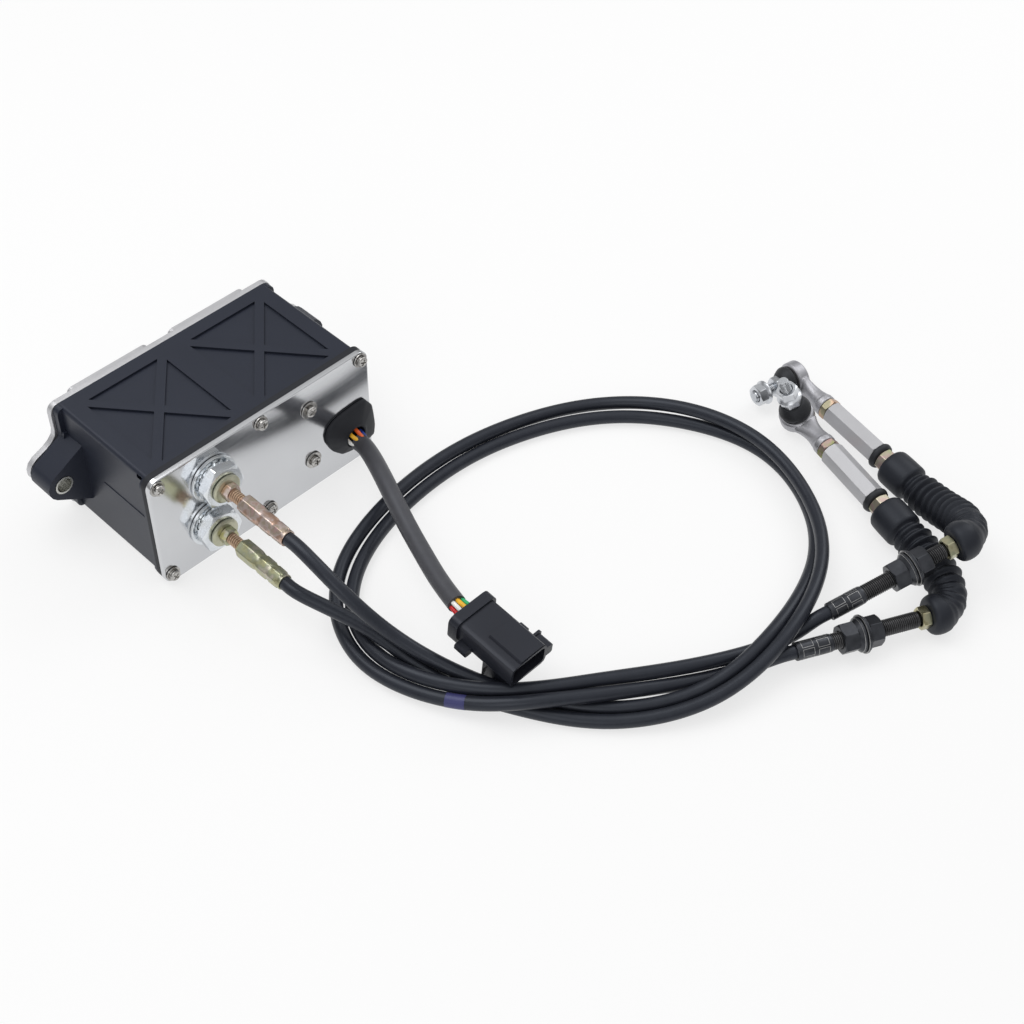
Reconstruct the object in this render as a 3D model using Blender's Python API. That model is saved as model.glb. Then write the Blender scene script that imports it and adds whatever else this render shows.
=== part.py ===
"""Engine governor actuator: a boxed throttle motor that works two control cables.

All sizes below are in millimetres and become metres in make(). The plate that
carries the cable fittings faces -Y, +Z is up, and the housing stands on z = 0.
"""

import math

import bmesh
import bpy
import numpy as np
from mathutils import Matrix, Vector
from mathutils.geometry import tessellate_polygon

MM = 0.001
GAP = 0.3

# Housing: a moulded box, open at the front and at the back
BODY_W = 163.0
BODY_H = 86.0
BODY_FRONT = -44.9
BODY_BACK = 45.0
WALL = 3.5
BODY_R = 3.0
CAVITY_R = 4.0
RIM_DEPTH = 5.5
RIM_IN = 0.3
POST_W = 11.3
POST_H = 8.9
POST_DEPTH = 14.0
POST_IN = 0.5
FIELD_X = 39.0
FIELD_W = 60.0
FIELD_D = 72.0
FIELD_Y = -1.0
FIELD_RIB = 4.0
FIELD_DEPTH = 1.6

# Mounting ears at mid height of both ends, on a flange round the back
FLANGE_SIDE = 3.3
FLANGE_DEPTH = 5.0
EAR_OUT = 17.5
EAR_UP = 1.0
EAR_R = 10.9
EAR_TIP_R = 9.0
EAR_FRONT = 24.0
EAR_WEB = 7.0
EAR_ROOT_TOP = 21.5
EAR_ROOT_LOW = 24.3
EAR_X = BODY_W / 2 + EAR_OUT
EAR_Z = BODY_H / 2 + EAR_UP
BUSH_R = 6.3
BUSH_BORE = 5.1

# Back cover, die cast
COVER_T = 4.2
COVER_MARGIN = 1.5
PAD_T = 3.4
PAD_X = 38.5
PAD_W = 61.0
PAD_MARGIN = 1.0
PAD_H = BODY_H - 2 * PAD_MARGIN

# Front plate and its gasket
PLATE_SIDE = 3.5
PLATE_RISE = 2.1
PLATE_Z0 = 0.1
PLATE_W = BODY_W + 2 * PLATE_SIDE
PLATE_H = BODY_H + PLATE_RISE - PLATE_Z0
PLATE_T = 3.4
PLATE_FRONT = -50.0
PLATE_R = 7.0
GASKET_T = 0.9

# Screws in the plate
SCREW_LEFT = 5.6
SCREW_RIGHT = 6.4
SCREW_MID = -1.6
SCREW_LOW = 7.1
SCREW_TOP = 5.5
SCREW_X = (-PLATE_W / 2 + SCREW_LEFT, SCREW_MID, PLATE_W / 2 - SCREW_RIGHT)
SCREW_Z = (PLATE_Z0 + SCREW_LOW, PLATE_Z0 + PLATE_H - SCREW_TOP)
SCREW_HEAD_R = 4.2
SCREW_HEAD_H = 3.2
SCREW_R = 2.2
SCREW_LEN = 12.0
WASHER_R = 4.8
WASHER_T = 1.4
BRACKET_SCREW_X = 35.6
BRACKET_SCREW_LOW = 18.6
BRACKET_SCREW_TOP = 25.4
BRACKET_SCREW_Z = (BODY_H / 2 - BRACKET_SCREW_LOW, BODY_H / 2 + BRACKET_SCREW_TOP)
BRACKET_WASHER_R = 6.4

# Cable fittings, upper and lower
UPPER_IN = 44.3
LOWER_IN = 38.5
UPPER_X = -PLATE_W / 2 + UPPER_IN
LOWER_X = -PLATE_W / 2 + LOWER_IN
UPPER_SHARE = 0.726
LOWER_SHARE = 0.334
UPPER_Z = round(PLATE_Z0 + PLATE_H * UPPER_SHARE, 1)
LOWER_Z = round(PLATE_Z0 + PLATE_H * LOWER_SHARE, 1)
GLAND_R = 9.0
GLAND_COLLAR_R = 10.2
GLAND_COLLAR_T = 2.3
GLAND_TAIL = 14.0
STUD_LEN = 14.5
LOCK_R = 16.2
LOCK_T = 4.6
NUT_AF = 27.0
NUT_T = 7.2
HEX_AF = 13.0
HEX_T = 5.5
STUD_R = 4.0
WIRE_R = 1.1
WIRE_LEN = 56.0
WIRE_BORE = 1.6
FERRULE_END = -119.5

# Throttle cables
CONDUIT_R = 4.1
CABLE_STEP = 20.0

# Far ends of the cables
HUB_CRIMP_R = 5.6
HUB_R = 5.2
HUB_CRIMP_LEN = 24.0
HUB_LEN = 81.0
HUB_NUT_AF = 17.0
HUB_FLANGE_R = 10.8
HUB_WASHER_R = 12.0
COLLAR_AF = 15.5
COLLAR_T = 6.0
BOOT_R = 12.3
BOOT_ROOT_R = 10.2
BOOT_BORE = 8.4
CUFF_LEN = 22.0
PLEAT = 6.0
SHANK_END = 33.5
LINK_NUT_AF = 14.0
FRONT_NUT_T = 5.0
BAR_AF = 14.6
BAR_LEN = 46.5
SEAL_T = 4.5
REAR_NUT_T = 6.6
TAIL_R = 3.0
TAIL_LEN = 16.0
EYE_R = 11.8
EYE_T = 8.6
BALL_R = 6.2
BALL_SEAT_R = 6.5
NECK_R = 3.4
CAP_R = 10.8
CAP_TOP_R = 8.2
CAP_T = 7.6
SHOULDER_AF = 12.6
SHOULDER_T = 5.4
BOLT_R = 3.8
BOLT_LEN = 17.0
STUD_NUT_AF = 13.0
STUD_NUT_T = 8.2
STUD_FLANGE_R = 8.3

# Where the far ends lie
UPPER_HUB_AT = (175.0, -356.4, 19.0)
UPPER_HUB_DIR = (0.919, -0.3255, 0.223)
UPPER_BALL = (327.0, -210.7, 12.7)
UPPER_LINK_DIR = (0.21, 0.978, 0.0)
UPPER_EYE_ROLL = 90.0
UPPER_LEAN = 0.0
UPPER_NUT_AT = 7.0
UPPER_NUTS = 57.0
LOWER_HUB_AT = (141.2, -358.5, 12.7)
LOWER_HUB_DIR = (0.894, -0.447, 0.0)
LOWER_BALL = (299.6, -234.2, 12.7)
LOWER_LINK_DIR = (0.289, 0.957, 0.0)
LOWER_EYE_ROLL = 22.0
LOWER_LEAN = 8.0
LOWER_NUT_AT = 0.3
LOWER_NUTS = 43.0

# Wiring: grommet, sleeve and plug
GROMMET_SIDE = 21.5
GROMMET_RISE = 29.3
GROMMET_X = PLATE_W / 2 - GROMMET_SIDE
GROMMET_Z = PLATE_Z0 + SCREW_LOW + GROMMET_RISE
GROMMET_T = 7.5
GROMMET_LIP = 1.7
GROMMET_DOME = 5.9
GROMMET_NECK_R = 6.8
GROMMET_TIP_R = 4.2
SLEEVE_R = 5.6
SLEEVE_OUT = 3.0
SLEEVE_DROP = 11.5
SLEEVE_X = GROMMET_X + SLEEVE_OUT
SLEEVE_Z = GROMMET_Z - SLEEVE_DROP
SLEEVE_STEP = 12.0
PLUG_W = 29.0
PLUG_H = 17.0
PLUG_LEN = 50.0
PLUG_WALL = 1.8
PLUG_MOUTH = 20.0
PLUG_REAR = (12.4, -214.3, 33.2)
PLUG_FRONT = (12.6, -264.1, 28.9)

# Drive inside the housing
DRUM_Y = -10.0
SHAFT_LEFT = 19.5
SHAFT_RIGHT = 24.7
DRUM_ENDS = (LOWER_X - SHAFT_LEFT, UPPER_X + SHAFT_RIGHT)
MESH_ANGLE = -38.0
ADDENDUM = 0.7
DRUM_RIM = 2.2
GEAR_MODULE = 1.0
DRUM_TEETH = 48
PINION_TEETH = 12
GEAR_OUT = 13.7
GEAR_X = UPPER_X + GEAR_OUT
GEAR_T = 7.0
MOTOR_R = 18.5
MOTOR_LEN = 58.0
SHAFT_R = 4.0
PINION_SHAFT_R = 2.0
WALL_LEFT = 15.5
WALL_RIGHT = 20.7
BRACKET_PAST = 8.4
BRACKET_X = (LOWER_X - WALL_LEFT, UPPER_X + WALL_RIGHT, BRACKET_SCREW_X + BRACKET_PAST)
BRACKET_LOW = 14.0
BRACKET_TOP = 10.0
BRACKET_Z = (BRACKET_LOW, BODY_H - BRACKET_TOP)
BRACKET_IN = 3.0
BRACKET_REACH = (6.0, 34.0)
SHEET = 2.0

BLACK = ((0.045, 0.048, 0.058), 0.55, 0.0)
RUBBER = ((0.02, 0.02, 0.022), 0.7, 0.0)
STEEL = ((0.62, 0.63, 0.66), 0.22, 1.0)
CAST = ((0.55, 0.55, 0.56), 0.5, 0.9)
ZINC = ((0.68, 0.72, 0.76), 0.28, 1.0)
OLIVE = ((0.50, 0.47, 0.24), 0.32, 1.0)
COPPER = ((0.64, 0.36, 0.26), 0.32, 1.0)
SATIN = ((0.80, 0.80, 0.82), 0.4, 0.8)
OXIDE = ((0.03, 0.03, 0.032), 0.45, 0.7)
PVC = ((0.07, 0.07, 0.08), 0.5, 0.0)
BRASS = ((0.66, 0.52, 0.26), 0.35, 1.0)

UP = Vector((0.0, 0.0, 1.0))


def surface(name, look):
    """A Principled material with a colour, a roughness and a metallic value."""
    mat = bpy.data.materials.new(name)
    mat.use_nodes = True
    bsdf = mat.node_tree.nodes["Principled BSDF"]
    colour, rough, metal = look
    bsdf.inputs["Base Color"].default_value = (*colour, 1.0)
    bsdf.inputs["Roughness"].default_value = rough
    bsdf.inputs["Metallic"].default_value = metal
    mat.diffuse_color = (*colour, 1.0)
    return mat


def make(name, shape, look, origin=(0.0, 0.0, 0.0)):
    """A mesh object from (vertices, faces) in world millimetres."""
    verts, faces = shape
    base = Vector(origin)
    mesh = bpy.data.meshes.new(name)
    mesh.from_pydata([(Vector(v) - base) * MM for v in verts], [], faces)
    bm = bmesh.new()
    bm.from_mesh(mesh)
    bmesh.ops.remove_doubles(bm, verts=bm.verts, dist=1e-6)
    bmesh.ops.recalc_face_normals(bm, faces=bm.faces)
    bm.to_mesh(mesh)
    bm.free()
    mesh.materials.append(surface(name, look))
    mesh.shade_smooth()
    mesh.set_sharp_from_angle(angle=math.radians(35))
    obj = bpy.data.objects.new(name, mesh)
    obj.location = base * MM
    bpy.context.collection.objects.link(obj)
    return obj


def combine(obj, others, operation="UNION"):
    """Joins solids to one, or cuts them away, and keeps the result as a mesh."""
    for other in others:
        mod = obj.modifiers.new("combine", "BOOLEAN")
        mod.operation = operation
        mod.solver = "EXACT"
        mod.object = other
        other.hide_render = True
        other.display_type = "WIRE"
    bpy.context.view_layer.update()
    graph = bpy.context.evaluated_depsgraph_get()
    mesh = bpy.data.meshes.new_from_object(obj.evaluated_get(graph))
    obj.modifiers.clear()
    obj.data = mesh
    for other in others:
        bpy.data.objects.remove(other)
    mesh.shade_smooth()
    mesh.set_sharp_from_angle(angle=math.radians(35))
    return obj


def axis_frame(origin, axis, side=None):
    """Matrix whose Z column runs along axis, in millimetres."""
    z = Vector(axis).normalized()
    ref = Vector(side) if side is not None else (UP if abs(z.z) < 0.9 else Vector((1.0, 0.0, 0.0)))
    x = (ref - z * ref.dot(z)).normalized()
    y = z.cross(x)
    rot = Matrix((x, y, z)).transposed().to_4x4()
    return Matrix.Translation(Vector(origin)) @ rot


def placed(shape, frame):
    """The same shape carried into a frame."""
    verts, faces = shape
    return [frame @ Vector(v) for v in verts], faces


def circle(radius, sides, x=0.0, y=0.0, turn=0.0):
    """Points of a circle, or of a regular polygon on that radius."""
    steps = [turn + 2.0 * math.pi * i / sides for i in range(sides)]
    return [(x + radius * math.cos(a), y + radius * math.sin(a)) for a in steps]


def hexagon(across_flats, turn=0.0):
    """Outline of a hexagon by its width across flats."""
    return circle(across_flats / math.sqrt(3.0), 6, turn=turn)


def round_rect(width, height, radius, x=0.0, y=0.0, steps=4):
    """Rectangle with rounded corners, anticlockwise."""
    pts = []
    for i, (sx, sy) in enumerate(((1, 1), (-1, 1), (-1, -1), (1, -1))):
        cx, cy = x + sx * (width / 2 - radius), y + sy * (height / 2 - radius)
        for j in range(steps + 1):
            a = math.pi / 2 * (i + j / steps)
            pts.append((cx + radius * math.cos(a), cy + radius * math.sin(a)))
    return pts


def prism(outline, low, high, holes=()):
    """Extrudes an outline with holes from low to high along local Z."""
    loops = [list(outline)] + [list(h) for h in holes]
    flat = [p for loop in loops for p in loop]
    n = len(flat)
    tris = tessellate_polygon([[Vector((x, y, 0.0)) for x, y in loop] for loop in loops])
    verts = [(x, y, low) for x, y in flat] + [(x, y, high) for x, y in flat]
    faces = [tuple(t) for t in tris] + [tuple(n + i for i in reversed(t)) for t in tris]
    start = 0
    for loop in loops:
        m = len(loop)
        for i in range(m):
            a, b = start + i, start + (i + 1) % m
            faces.append((a, b, n + b, n + a))
        start += m
    return verts, faces


def turned(profile, sides=24, closed=False):
    """Revolves (radius, height) points about local Z; closed makes a ring."""
    verts, rings = [], []
    for r, h in profile:
        if r < 1e-6:
            rings.append([len(verts)])
            verts.append((0.0, 0.0, h))
        else:
            rings.append([len(verts) + i for i in range(sides)])
            verts += [(x, y, h) for x, y in circle(r, sides)]
    faces = []
    pairs = list(zip(rings, rings[1:])) + ([(rings[-1], rings[0])] if closed else [])
    for a, b in pairs:
        for i in range(sides):
            j = (i + 1) % sides
            if len(a) == 1:
                faces.append((a[0], b[j], b[i]))
            elif len(b) == 1:
                faces.append((a[i], a[j], b[0]))
            else:
                faces.append((a[i], a[j], b[j], b[i]))
    return verts, faces


def smooth_route(points, step):
    """Even points on a cubic curve through the route's own points."""
    p = np.array(points, float)
    t = np.r_[0.0, np.cumsum(np.linalg.norm(np.diff(p, axis=0), axis=1) ** 0.5)]
    h = np.diff(t)
    n = len(p)
    lhs, rhs = np.eye(n), np.zeros((n, 3))
    for i in range(1, n - 1):
        lhs[i, i - 1:i + 2] = h[i - 1], 2 * (h[i - 1] + h[i]), h[i]
        rhs[i] = 6 * ((p[i + 1] - p[i]) / h[i] - (p[i] - p[i - 1]) / h[i - 1])
    bend = np.linalg.solve(lhs, rhs)

    def at(x):
        k = int(np.clip(np.searchsorted(t, x, side="right") - 1, 0, n - 2))
        a, b = (t[k + 1] - x) / h[k], (x - t[k]) / h[k]
        curve = (a ** 3 - a) * bend[k] + (b ** 3 - b) * bend[k + 1]
        return a * p[k] + b * p[k + 1] + curve * h[k] ** 2 / 6

    fine = np.array([at(x) for x in np.linspace(0.0, t[-1], 1200)])
    run = np.r_[0.0, np.cumsum(np.linalg.norm(np.diff(fine, axis=0), axis=1))]
    marks = np.linspace(0.0, run[-1], max(2, round(run[-1] / step)) + 1)
    return np.stack([np.interp(marks, run, fine[:, i]) for i in range(3)], axis=1)


def tube(name, points, radius, look, resolution=2):
    """A cord: a curve with a round bevel and filled caps."""
    curve = bpy.data.curves.new(name, "CURVE")
    curve.dimensions = "3D"
    curve.bevel_depth = radius * MM
    curve.bevel_resolution = resolution
    curve.use_fill_caps = True
    spline = curve.splines.new("POLY")
    spline.points.add(len(points) - 1)
    for point, at in zip(spline.points, points):
        point.co = (at[0] * MM, at[1] * MM, at[2] * MM, 1.0)
    curve.materials.append(surface(name, look))
    obj = bpy.data.objects.new(name, curve)
    bpy.context.collection.objects.link(obj)
    return obj


def swept(path, outer, bore_path, bore, sides=12):
    """A hollow sleeve: outer radius at each point of path, even bore along bore_path."""
    ref = np.array((0.0, 0.0, 1.0))
    verts, faces, ends = [], [], []
    for line, radii in ((path, outer), (bore_path, [bore] * len(bore_path))):
        first = len(verts)
        tangents = np.gradient(line, axis=0)
        for at, along, r in zip(line, tangents, radii):
            along = along / np.linalg.norm(along)
            x = ref - along * ref.dot(along)
            x /= np.linalg.norm(x)
            y = np.cross(along, x)
            steps = [2.0 * math.pi * i / sides for i in range(sides)]
            verts += [tuple(at + r * (x * math.cos(a) + y * math.sin(a))) for a in steps]
        for j in range(len(line) - 1):
            for i in range(sides):
                a, b = first + j * sides + i, first + j * sides + (i + 1) % sides
                faces.append((a, b, b + sides, a + sides))
        ends.append((first, len(verts) - sides))
    for outer_ring, inner_ring in zip(*ends):
        for i in range(sides):
            k = (i + 1) % sides
            faces.append((outer_ring + i, outer_ring + k, inner_ring + k, inner_ring + i))
    return verts, faces


def along_y(outline, near, far, holes=()):
    """Prism whose outline is (x, z) and whose length is the stretch near to far in y."""
    return placed(prism(outline, -far, -near, holes), axis_frame((0, 0, 0), (0, -1, 0), (1, 0, 0)))


def mirrored(points, side):
    """Outline for the right end, or turned over for the left one."""
    return points if side > 0 else [(-x, z) for x, z in reversed(points)]


def ear_outline(side):
    """Front of a lug: from the housing's wall to the round boss."""
    lean = math.radians(38)
    tip = [
        (EAR_X + EAR_R * math.cos(a), EAR_Z + EAR_R * math.sin(a))
        for a in np.linspace(-math.pi / 2 + lean, math.pi / 2 - lean, 6)
    ]
    wall = BODY_W / 2
    low, high = EAR_Z - EAR_ROOT_LOW, EAR_Z + EAR_ROOT_TOP
    pts = [(wall - 2.0, low), (wall + 0.6, low)] + tip + [(wall + 0.6, high), (wall - 2.0, high)]
    return mirrored(pts, side)


def web_outline(side, grow=0.0):
    """Back of a lug: leaves the flange in a hollow curve and ends in a round tip."""
    r = EAR_TIP_R + grow
    root = BODY_W / 2 + FLANGE_SIDE + grow
    tip = [
        (EAR_X - 0.6 + r * math.cos(a), EAR_Z - 0.5 + r * math.sin(a))
        for a in np.linspace(-math.radians(64), math.radians(64), 6)
    ]
    hollow = [(EAR_X - 4.6, 10.9 + grow), (root + 4.2, 13.4 + grow), (root + 0.9, 17.0 + grow),
              (root - 0.4, 24.0)]
    high = [(x, EAR_Z + rise) for x, rise in hollow]
    low = [(x, EAR_Z - rise) for x, rise in reversed(hollow)]
    inner = BODY_W / 2 - 1.4
    return mirrored([(inner, EAR_Z - 24.3)] + low + tip + high + [(inner, EAR_Z + 24.3)], side)


def pockets():
    """Triangular pockets that leave crossed ribs in the housing's top."""
    cutters = []
    w, d, rib = FIELD_W / 2, FIELD_D / 2, FIELD_RIB
    for cx in (-FIELD_X, FIELD_X):
        for turn in range(4):
            long, wide = (w, d) if turn % 2 == 0 else (d, w)
            start = rib * 0.75 * math.hypot(long, wide) / wide
            tip = wide * (1 - start / long)
            tri = [(start, 0.0), (long, -tip), (long, tip)]
            a = turn * math.pi / 2
            pts = [
                (cx + x * math.cos(a) - y * math.sin(a), FIELD_Y + x * math.sin(a) + y * math.cos(a))
                for x, y in tri
            ]
            cutters.append(make("pocket", prism(pts, BODY_H - FIELD_DEPTH, BODY_H + 4.0), BLACK))
    return cutters


def post_outline(x, z, mid):
    """Block round a plate screw, kept inside the housing's own walls."""
    side = BODY_W / 2 - POST_IN - POST_W / 2
    low, high = POST_IN + POST_H / 2, BODY_H - POST_IN - POST_H / 2
    return round_rect(POST_W, POST_H, 2.0, min(max(x, -side), side), low if z < mid else high, steps=1)


def housing():
    """Box open at both ends, with a front rim, a back flange, ears, screw posts and ribbed fields on top."""
    mid = BODY_H / 2
    shell = round_rect(BODY_W, BODY_H, BODY_R, 0.0, mid, steps=3)
    body = make("housing", along_y(shell, BODY_FRONT, BODY_BACK), BLACK)
    rim = round_rect(PLATE_W - 2 * RIM_IN, BODY_H - 0.4, PLATE_R, 0.0, mid, steps=3)
    flange = round_rect(BODY_W + 2 * FLANGE_SIDE, BODY_H - 1.0, BODY_R + 1.0, 0.0, mid, steps=3)
    adds = [make("rim", along_y(rim, BODY_FRONT + 0.1, BODY_FRONT + RIM_DEPTH), BLACK)]
    adds.append(make("flange", along_y(flange, BODY_BACK - FLANGE_DEPTH, BODY_BACK - 0.1), BLACK))
    combine(body, adds)
    ears = []
    for side in (-1, 1):
        ears.append(make("web", along_y(web_outline(side), BODY_BACK - EAR_WEB, BODY_BACK - 0.2), BLACK))
        ears.append(make("ear", along_y(ear_outline(side), EAR_FRONT, BODY_BACK - 2.0), BLACK))
    for ear in ears:
        combine(body, [ear])
    inner = round_rect(BODY_W - 2 * WALL, BODY_H - 2 * WALL, CAVITY_R, 0.0, mid, steps=2)
    cuts = [make("cavity", along_y(inner, BODY_FRONT - 5.0, BODY_BACK + 5.0), BLACK)] + pockets()
    for side in (-1, 1):
        bore = circle(BUSH_R + GAP, 14, side * EAR_X, EAR_Z)
        cuts.append(make("bore", along_y(bore, EAR_FRONT - 5.0, BODY_BACK + 5.0), BLACK))
    combine(body, cuts, "DIFFERENCE")
    posts, bores = [], []
    for x in SCREW_X:
        for z in SCREW_Z:
            post = post_outline(x, z, mid)
            posts.append(make("post", along_y(post, BODY_FRONT + 0.05, BODY_FRONT + POST_DEPTH), BLACK))
            hole = circle(SCREW_R + GAP, 8, x, z)
            bores.append(make("hole", along_y(hole, BODY_FRONT - 5.0, BODY_FRONT + POST_DEPTH - 3.0), BLACK))
    combine(body, posts)
    return combine(body, bores, "DIFFERENCE")


def back_cover():
    """Cast cover on the housing's back, with the ears' outline and two raised fields."""
    y0 = BODY_BACK + GAP
    width = BODY_W + 2 * (FLANGE_SIDE + COVER_MARGIN)
    outline = round_rect(width, BODY_H - 0.4, 6.0, 0.0, BODY_H / 2)
    cover = make("back_cover", along_y(outline, y0, y0 + COVER_T), CAST)
    adds = []
    for side in (-1, 1):
        adds.append(make("ear", along_y(web_outline(side, COVER_MARGIN), y0, y0 + COVER_T), CAST))
        pad = round_rect(PAD_W, PAD_H, 4.0, side * PAD_X, BODY_H / 2)
        adds.append(make("pad", along_y(pad, y0 + 1.0, y0 + COVER_T + PAD_T), CAST))
    combine(cover, adds)
    holes = []
    for side in (-1, 1):
        bore = circle(BUSH_BORE, 14, side * EAR_X, EAR_Z)
        holes.append(make("hole", along_y(bore, y0 - 5, y0 + COVER_T + 5), CAST))
    return combine(cover, holes, "DIFFERENCE")


def bushings():
    for name, side in (("left_bushing", -1), ("right_bushing", 1)):
        ring = circle(BUSH_R, 16, side * EAR_X, EAR_Z)
        bore = circle(BUSH_BORE, 16, side * EAR_X, EAR_Z)
        make(name, along_y(ring, EAR_FRONT - 0.4, BODY_BACK, [bore]), ZINC)


def grommet_outline(share=1.0):
    """D shape of the rubber, or a smaller copy of it round its middle."""
    pts = [(16.4, 12.1), (21.6, 4.2), (22.5, -2.7), (23.4, -14.2), (22.3, -22.0), (17.9, -23.7), (2.1, -24.2),
           (-5.6, -22.0), (-12.7, -14.5), (-16.7, -5.3), (-17.3, 0.5), (-14.9, 6.9), (-10.5, 10.0),
           (-4.0, 11.8),
           (6.2, 12.8), (13.0, 13.0)]
    cx, cz = 3.0, -5.5
    return [(GROMMET_X + cx + (x - cx) * share, GROMMET_Z + cz + (z - cz) * share) for x, z in reversed(pts)]


def plate_holes():
    holes = [circle(SCREW_R + GAP, 10, x, z) for x in SCREW_X for z in SCREW_Z]
    holes += [circle(SCREW_R + GAP, 10, BRACKET_SCREW_X, z) for z in BRACKET_SCREW_Z]
    holes += [circle(GLAND_R + GAP, 20, UPPER_X, UPPER_Z), circle(GLAND_R + GAP, 20, LOWER_X, LOWER_Z)]
    holes.append(circle(SLEEVE_R + 1.6, 12, GROMMET_X, GROMMET_Z))
    return holes


def front_plate():
    mid = PLATE_Z0 + PLATE_H / 2
    outline = round_rect(PLATE_W, PLATE_H, PLATE_R, 0.0, mid, steps=4)
    back = PLATE_FRONT + PLATE_T
    make("front_plate", along_y(outline, PLATE_FRONT, back, plate_holes()), STEEL)
    gasket = round_rect(PLATE_W - 1.0, PLATE_H - 1.6, PLATE_R, 0.0, BODY_H / 2 + 0.4)
    window = round_rect(BODY_W - 16.0, BODY_H - 24.0, 5.0, 0.0, BODY_H / 2)
    bores = [circle(SCREW_R + GAP, 8, x, z) for x in SCREW_X for z in SCREW_Z]
    make("gasket", along_y(gasket, back + GAP, back + GAP + GASKET_T, [window] + bores), RUBBER)


def screw(name, x, z, washer_r):
    """Pan-head screw with its washer, driven in along +Y."""
    w, t = washer_r, WASHER_T
    r, h, s = SCREW_HEAD_R, SCREW_HEAD_H, SCREW_R
    profile = [(0.0, -SCREW_LEN), (s, -SCREW_LEN), (s, 0.0), (w, 0.0), (w, t * 0.6), (r, t),
               (r, t + h * 0.55),
               (r * 0.72, t + h), (0.0, t + h)]
    frame = axis_frame((x, PLATE_FRONT - GAP, z), (0.0, -1.0, 0.0))
    make(name, placed(turned(profile, 12), frame), STEEL)


def screws():
    number = 1
    for z in reversed(SCREW_Z):
        for x in SCREW_X:
            screw("plate_screw_%d" % number, x, z, WASHER_R)
            number += 1
    for i, z in enumerate(reversed(BRACKET_SCREW_Z)):
        screw("bracket_screw_%d" % (i + 1), BRACKET_SCREW_X, z, BRACKET_WASHER_R)


def fitting(side, x, z, colour, ferrule_colour):
    """Bulkhead fitting that holds one cable in the plate."""
    f = axis_frame((x, PLATE_FRONT, z), (0.0, -1.0, 0.0))
    lock = turned([(GLAND_R + GAP, GAP), (LOCK_R - 0.6, GAP), (LOCK_R, 1.2), (LOCK_R, 2.4),
                   (LOCK_R - 1.8, 2.6),
                   (LOCK_R - 1.8, LOCK_T), (GLAND_R + GAP, LOCK_T)], 20, closed=True)
    make(side + "_lock_washer", placed(lock, f), ZINC)
    n0 = LOCK_T + GAP
    nut = prism(hexagon(NUT_AF, 0.3), n0, n0 + NUT_T, [circle(GLAND_R + GAP, 20)])
    make(side + "_bulkhead_nut", placed(nut, f), ZINC)
    top = n0 + NUT_T + GAP + GLAND_COLLAR_T
    inside = -(PLATE_T + GLAND_TAIL)
    bore_r = WIRE_BORE
    body = turned([(bore_r, inside), (GLAND_R - 1.0, inside), (GLAND_R, inside + 1.0),
                   (GLAND_R, n0 + NUT_T + GAP),
                   (GLAND_COLLAR_R, n0 + NUT_T + GAP), (GLAND_COLLAR_R, top - 0.8),
                   (GLAND_COLLAR_R - 1.2, top),
                   (STUD_R, top), (STUD_R, top + STUD_LEN), (bore_r, top + STUD_LEN)], 14, closed=True)
    gland = make(side + "_gland", placed(body, f), colour)
    hexa = prism(hexagon(HEX_AF, 0.2), top - 0.5, top + HEX_T, [circle(STUD_R - 0.4, 8)])
    combine(gland, [make("hex", placed(hexa, f), colour)])
    s0 = top + STUD_LEN + GAP
    end = PLATE_FRONT - FERRULE_END
    long = end - s0
    shape = turned([(0.0, s0 + 24.0), (bore_r, s0 + 24.0), (bore_r, s0), (5.2, s0), (7.4, s0 + 5.0),
                    (7.4, s0 + 14.0), (6.6, s0 + 17.0), (6.2, s0 + long * 0.7), (5.5, end - 4.0), (5.4, end),
                    (0.0, end)], 14)
    make(side + "_ferrule", placed(shape, f), ferrule_colour)
    return (x, FERRULE_END - GAP, z)


def hub_end(side, at, direction, nuts_at):
    """Crimped end of a conduit with its threaded hub, nuts and collar."""
    f = axis_frame(at, direction)
    c, r, n = HUB_CRIMP_R, HUB_R, HUB_LEN
    hub = turned([(0.0, 0.0), (c, 0.0), (c, HUB_CRIMP_LEN - 2), (r, HUB_CRIMP_LEN), (r, n - 1), (r - 1, n),
                  (0.0, n)], 14)
    make(side + "_hub", placed(hub, f), OXIDE)
    inner = r + GAP
    s = nuts_at
    flange = turned([(inner, s - 4.5), (HUB_NUT_AF / 2, s - 4.5), (HUB_FLANGE_R, s - 2.0),
                     (HUB_FLANGE_R, s - 0.4),
                     (inner, s - 0.4)], 14, closed=True)
    nut = make(side + "_flange_nut", placed(flange, f), OXIDE)
    body = prism(hexagon(HUB_NUT_AF, 0.5), s - 14.0, s - 3.6, [circle(inner, 14)])
    combine(nut, [make("hex", placed(body, f), OXIDE)])
    ring = turned([(inner, s), (HUB_WASHER_R, s), (HUB_WASHER_R, s + 2.6), (inner, s + 2.6)], 14, closed=True)
    jam = make(side + "_jam_nut", placed(ring, f), OXIDE)
    body = prism(hexagon(HUB_NUT_AF, 0.2), s + 2.0, s + 12.0, [circle(inner, 14)])
    combine(jam, [make("hex", placed(body, f), OXIDE)])
    shape = prism(hexagon(COLLAR_AF, 0.3), n + GAP, n + GAP + COLLAR_T)
    make(side + "_hub_collar", placed(shape, f), OLIVE)
    return Vector(at) + Vector(direction).normalized() * (n + COLLAR_T + 2 * GAP)


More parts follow.
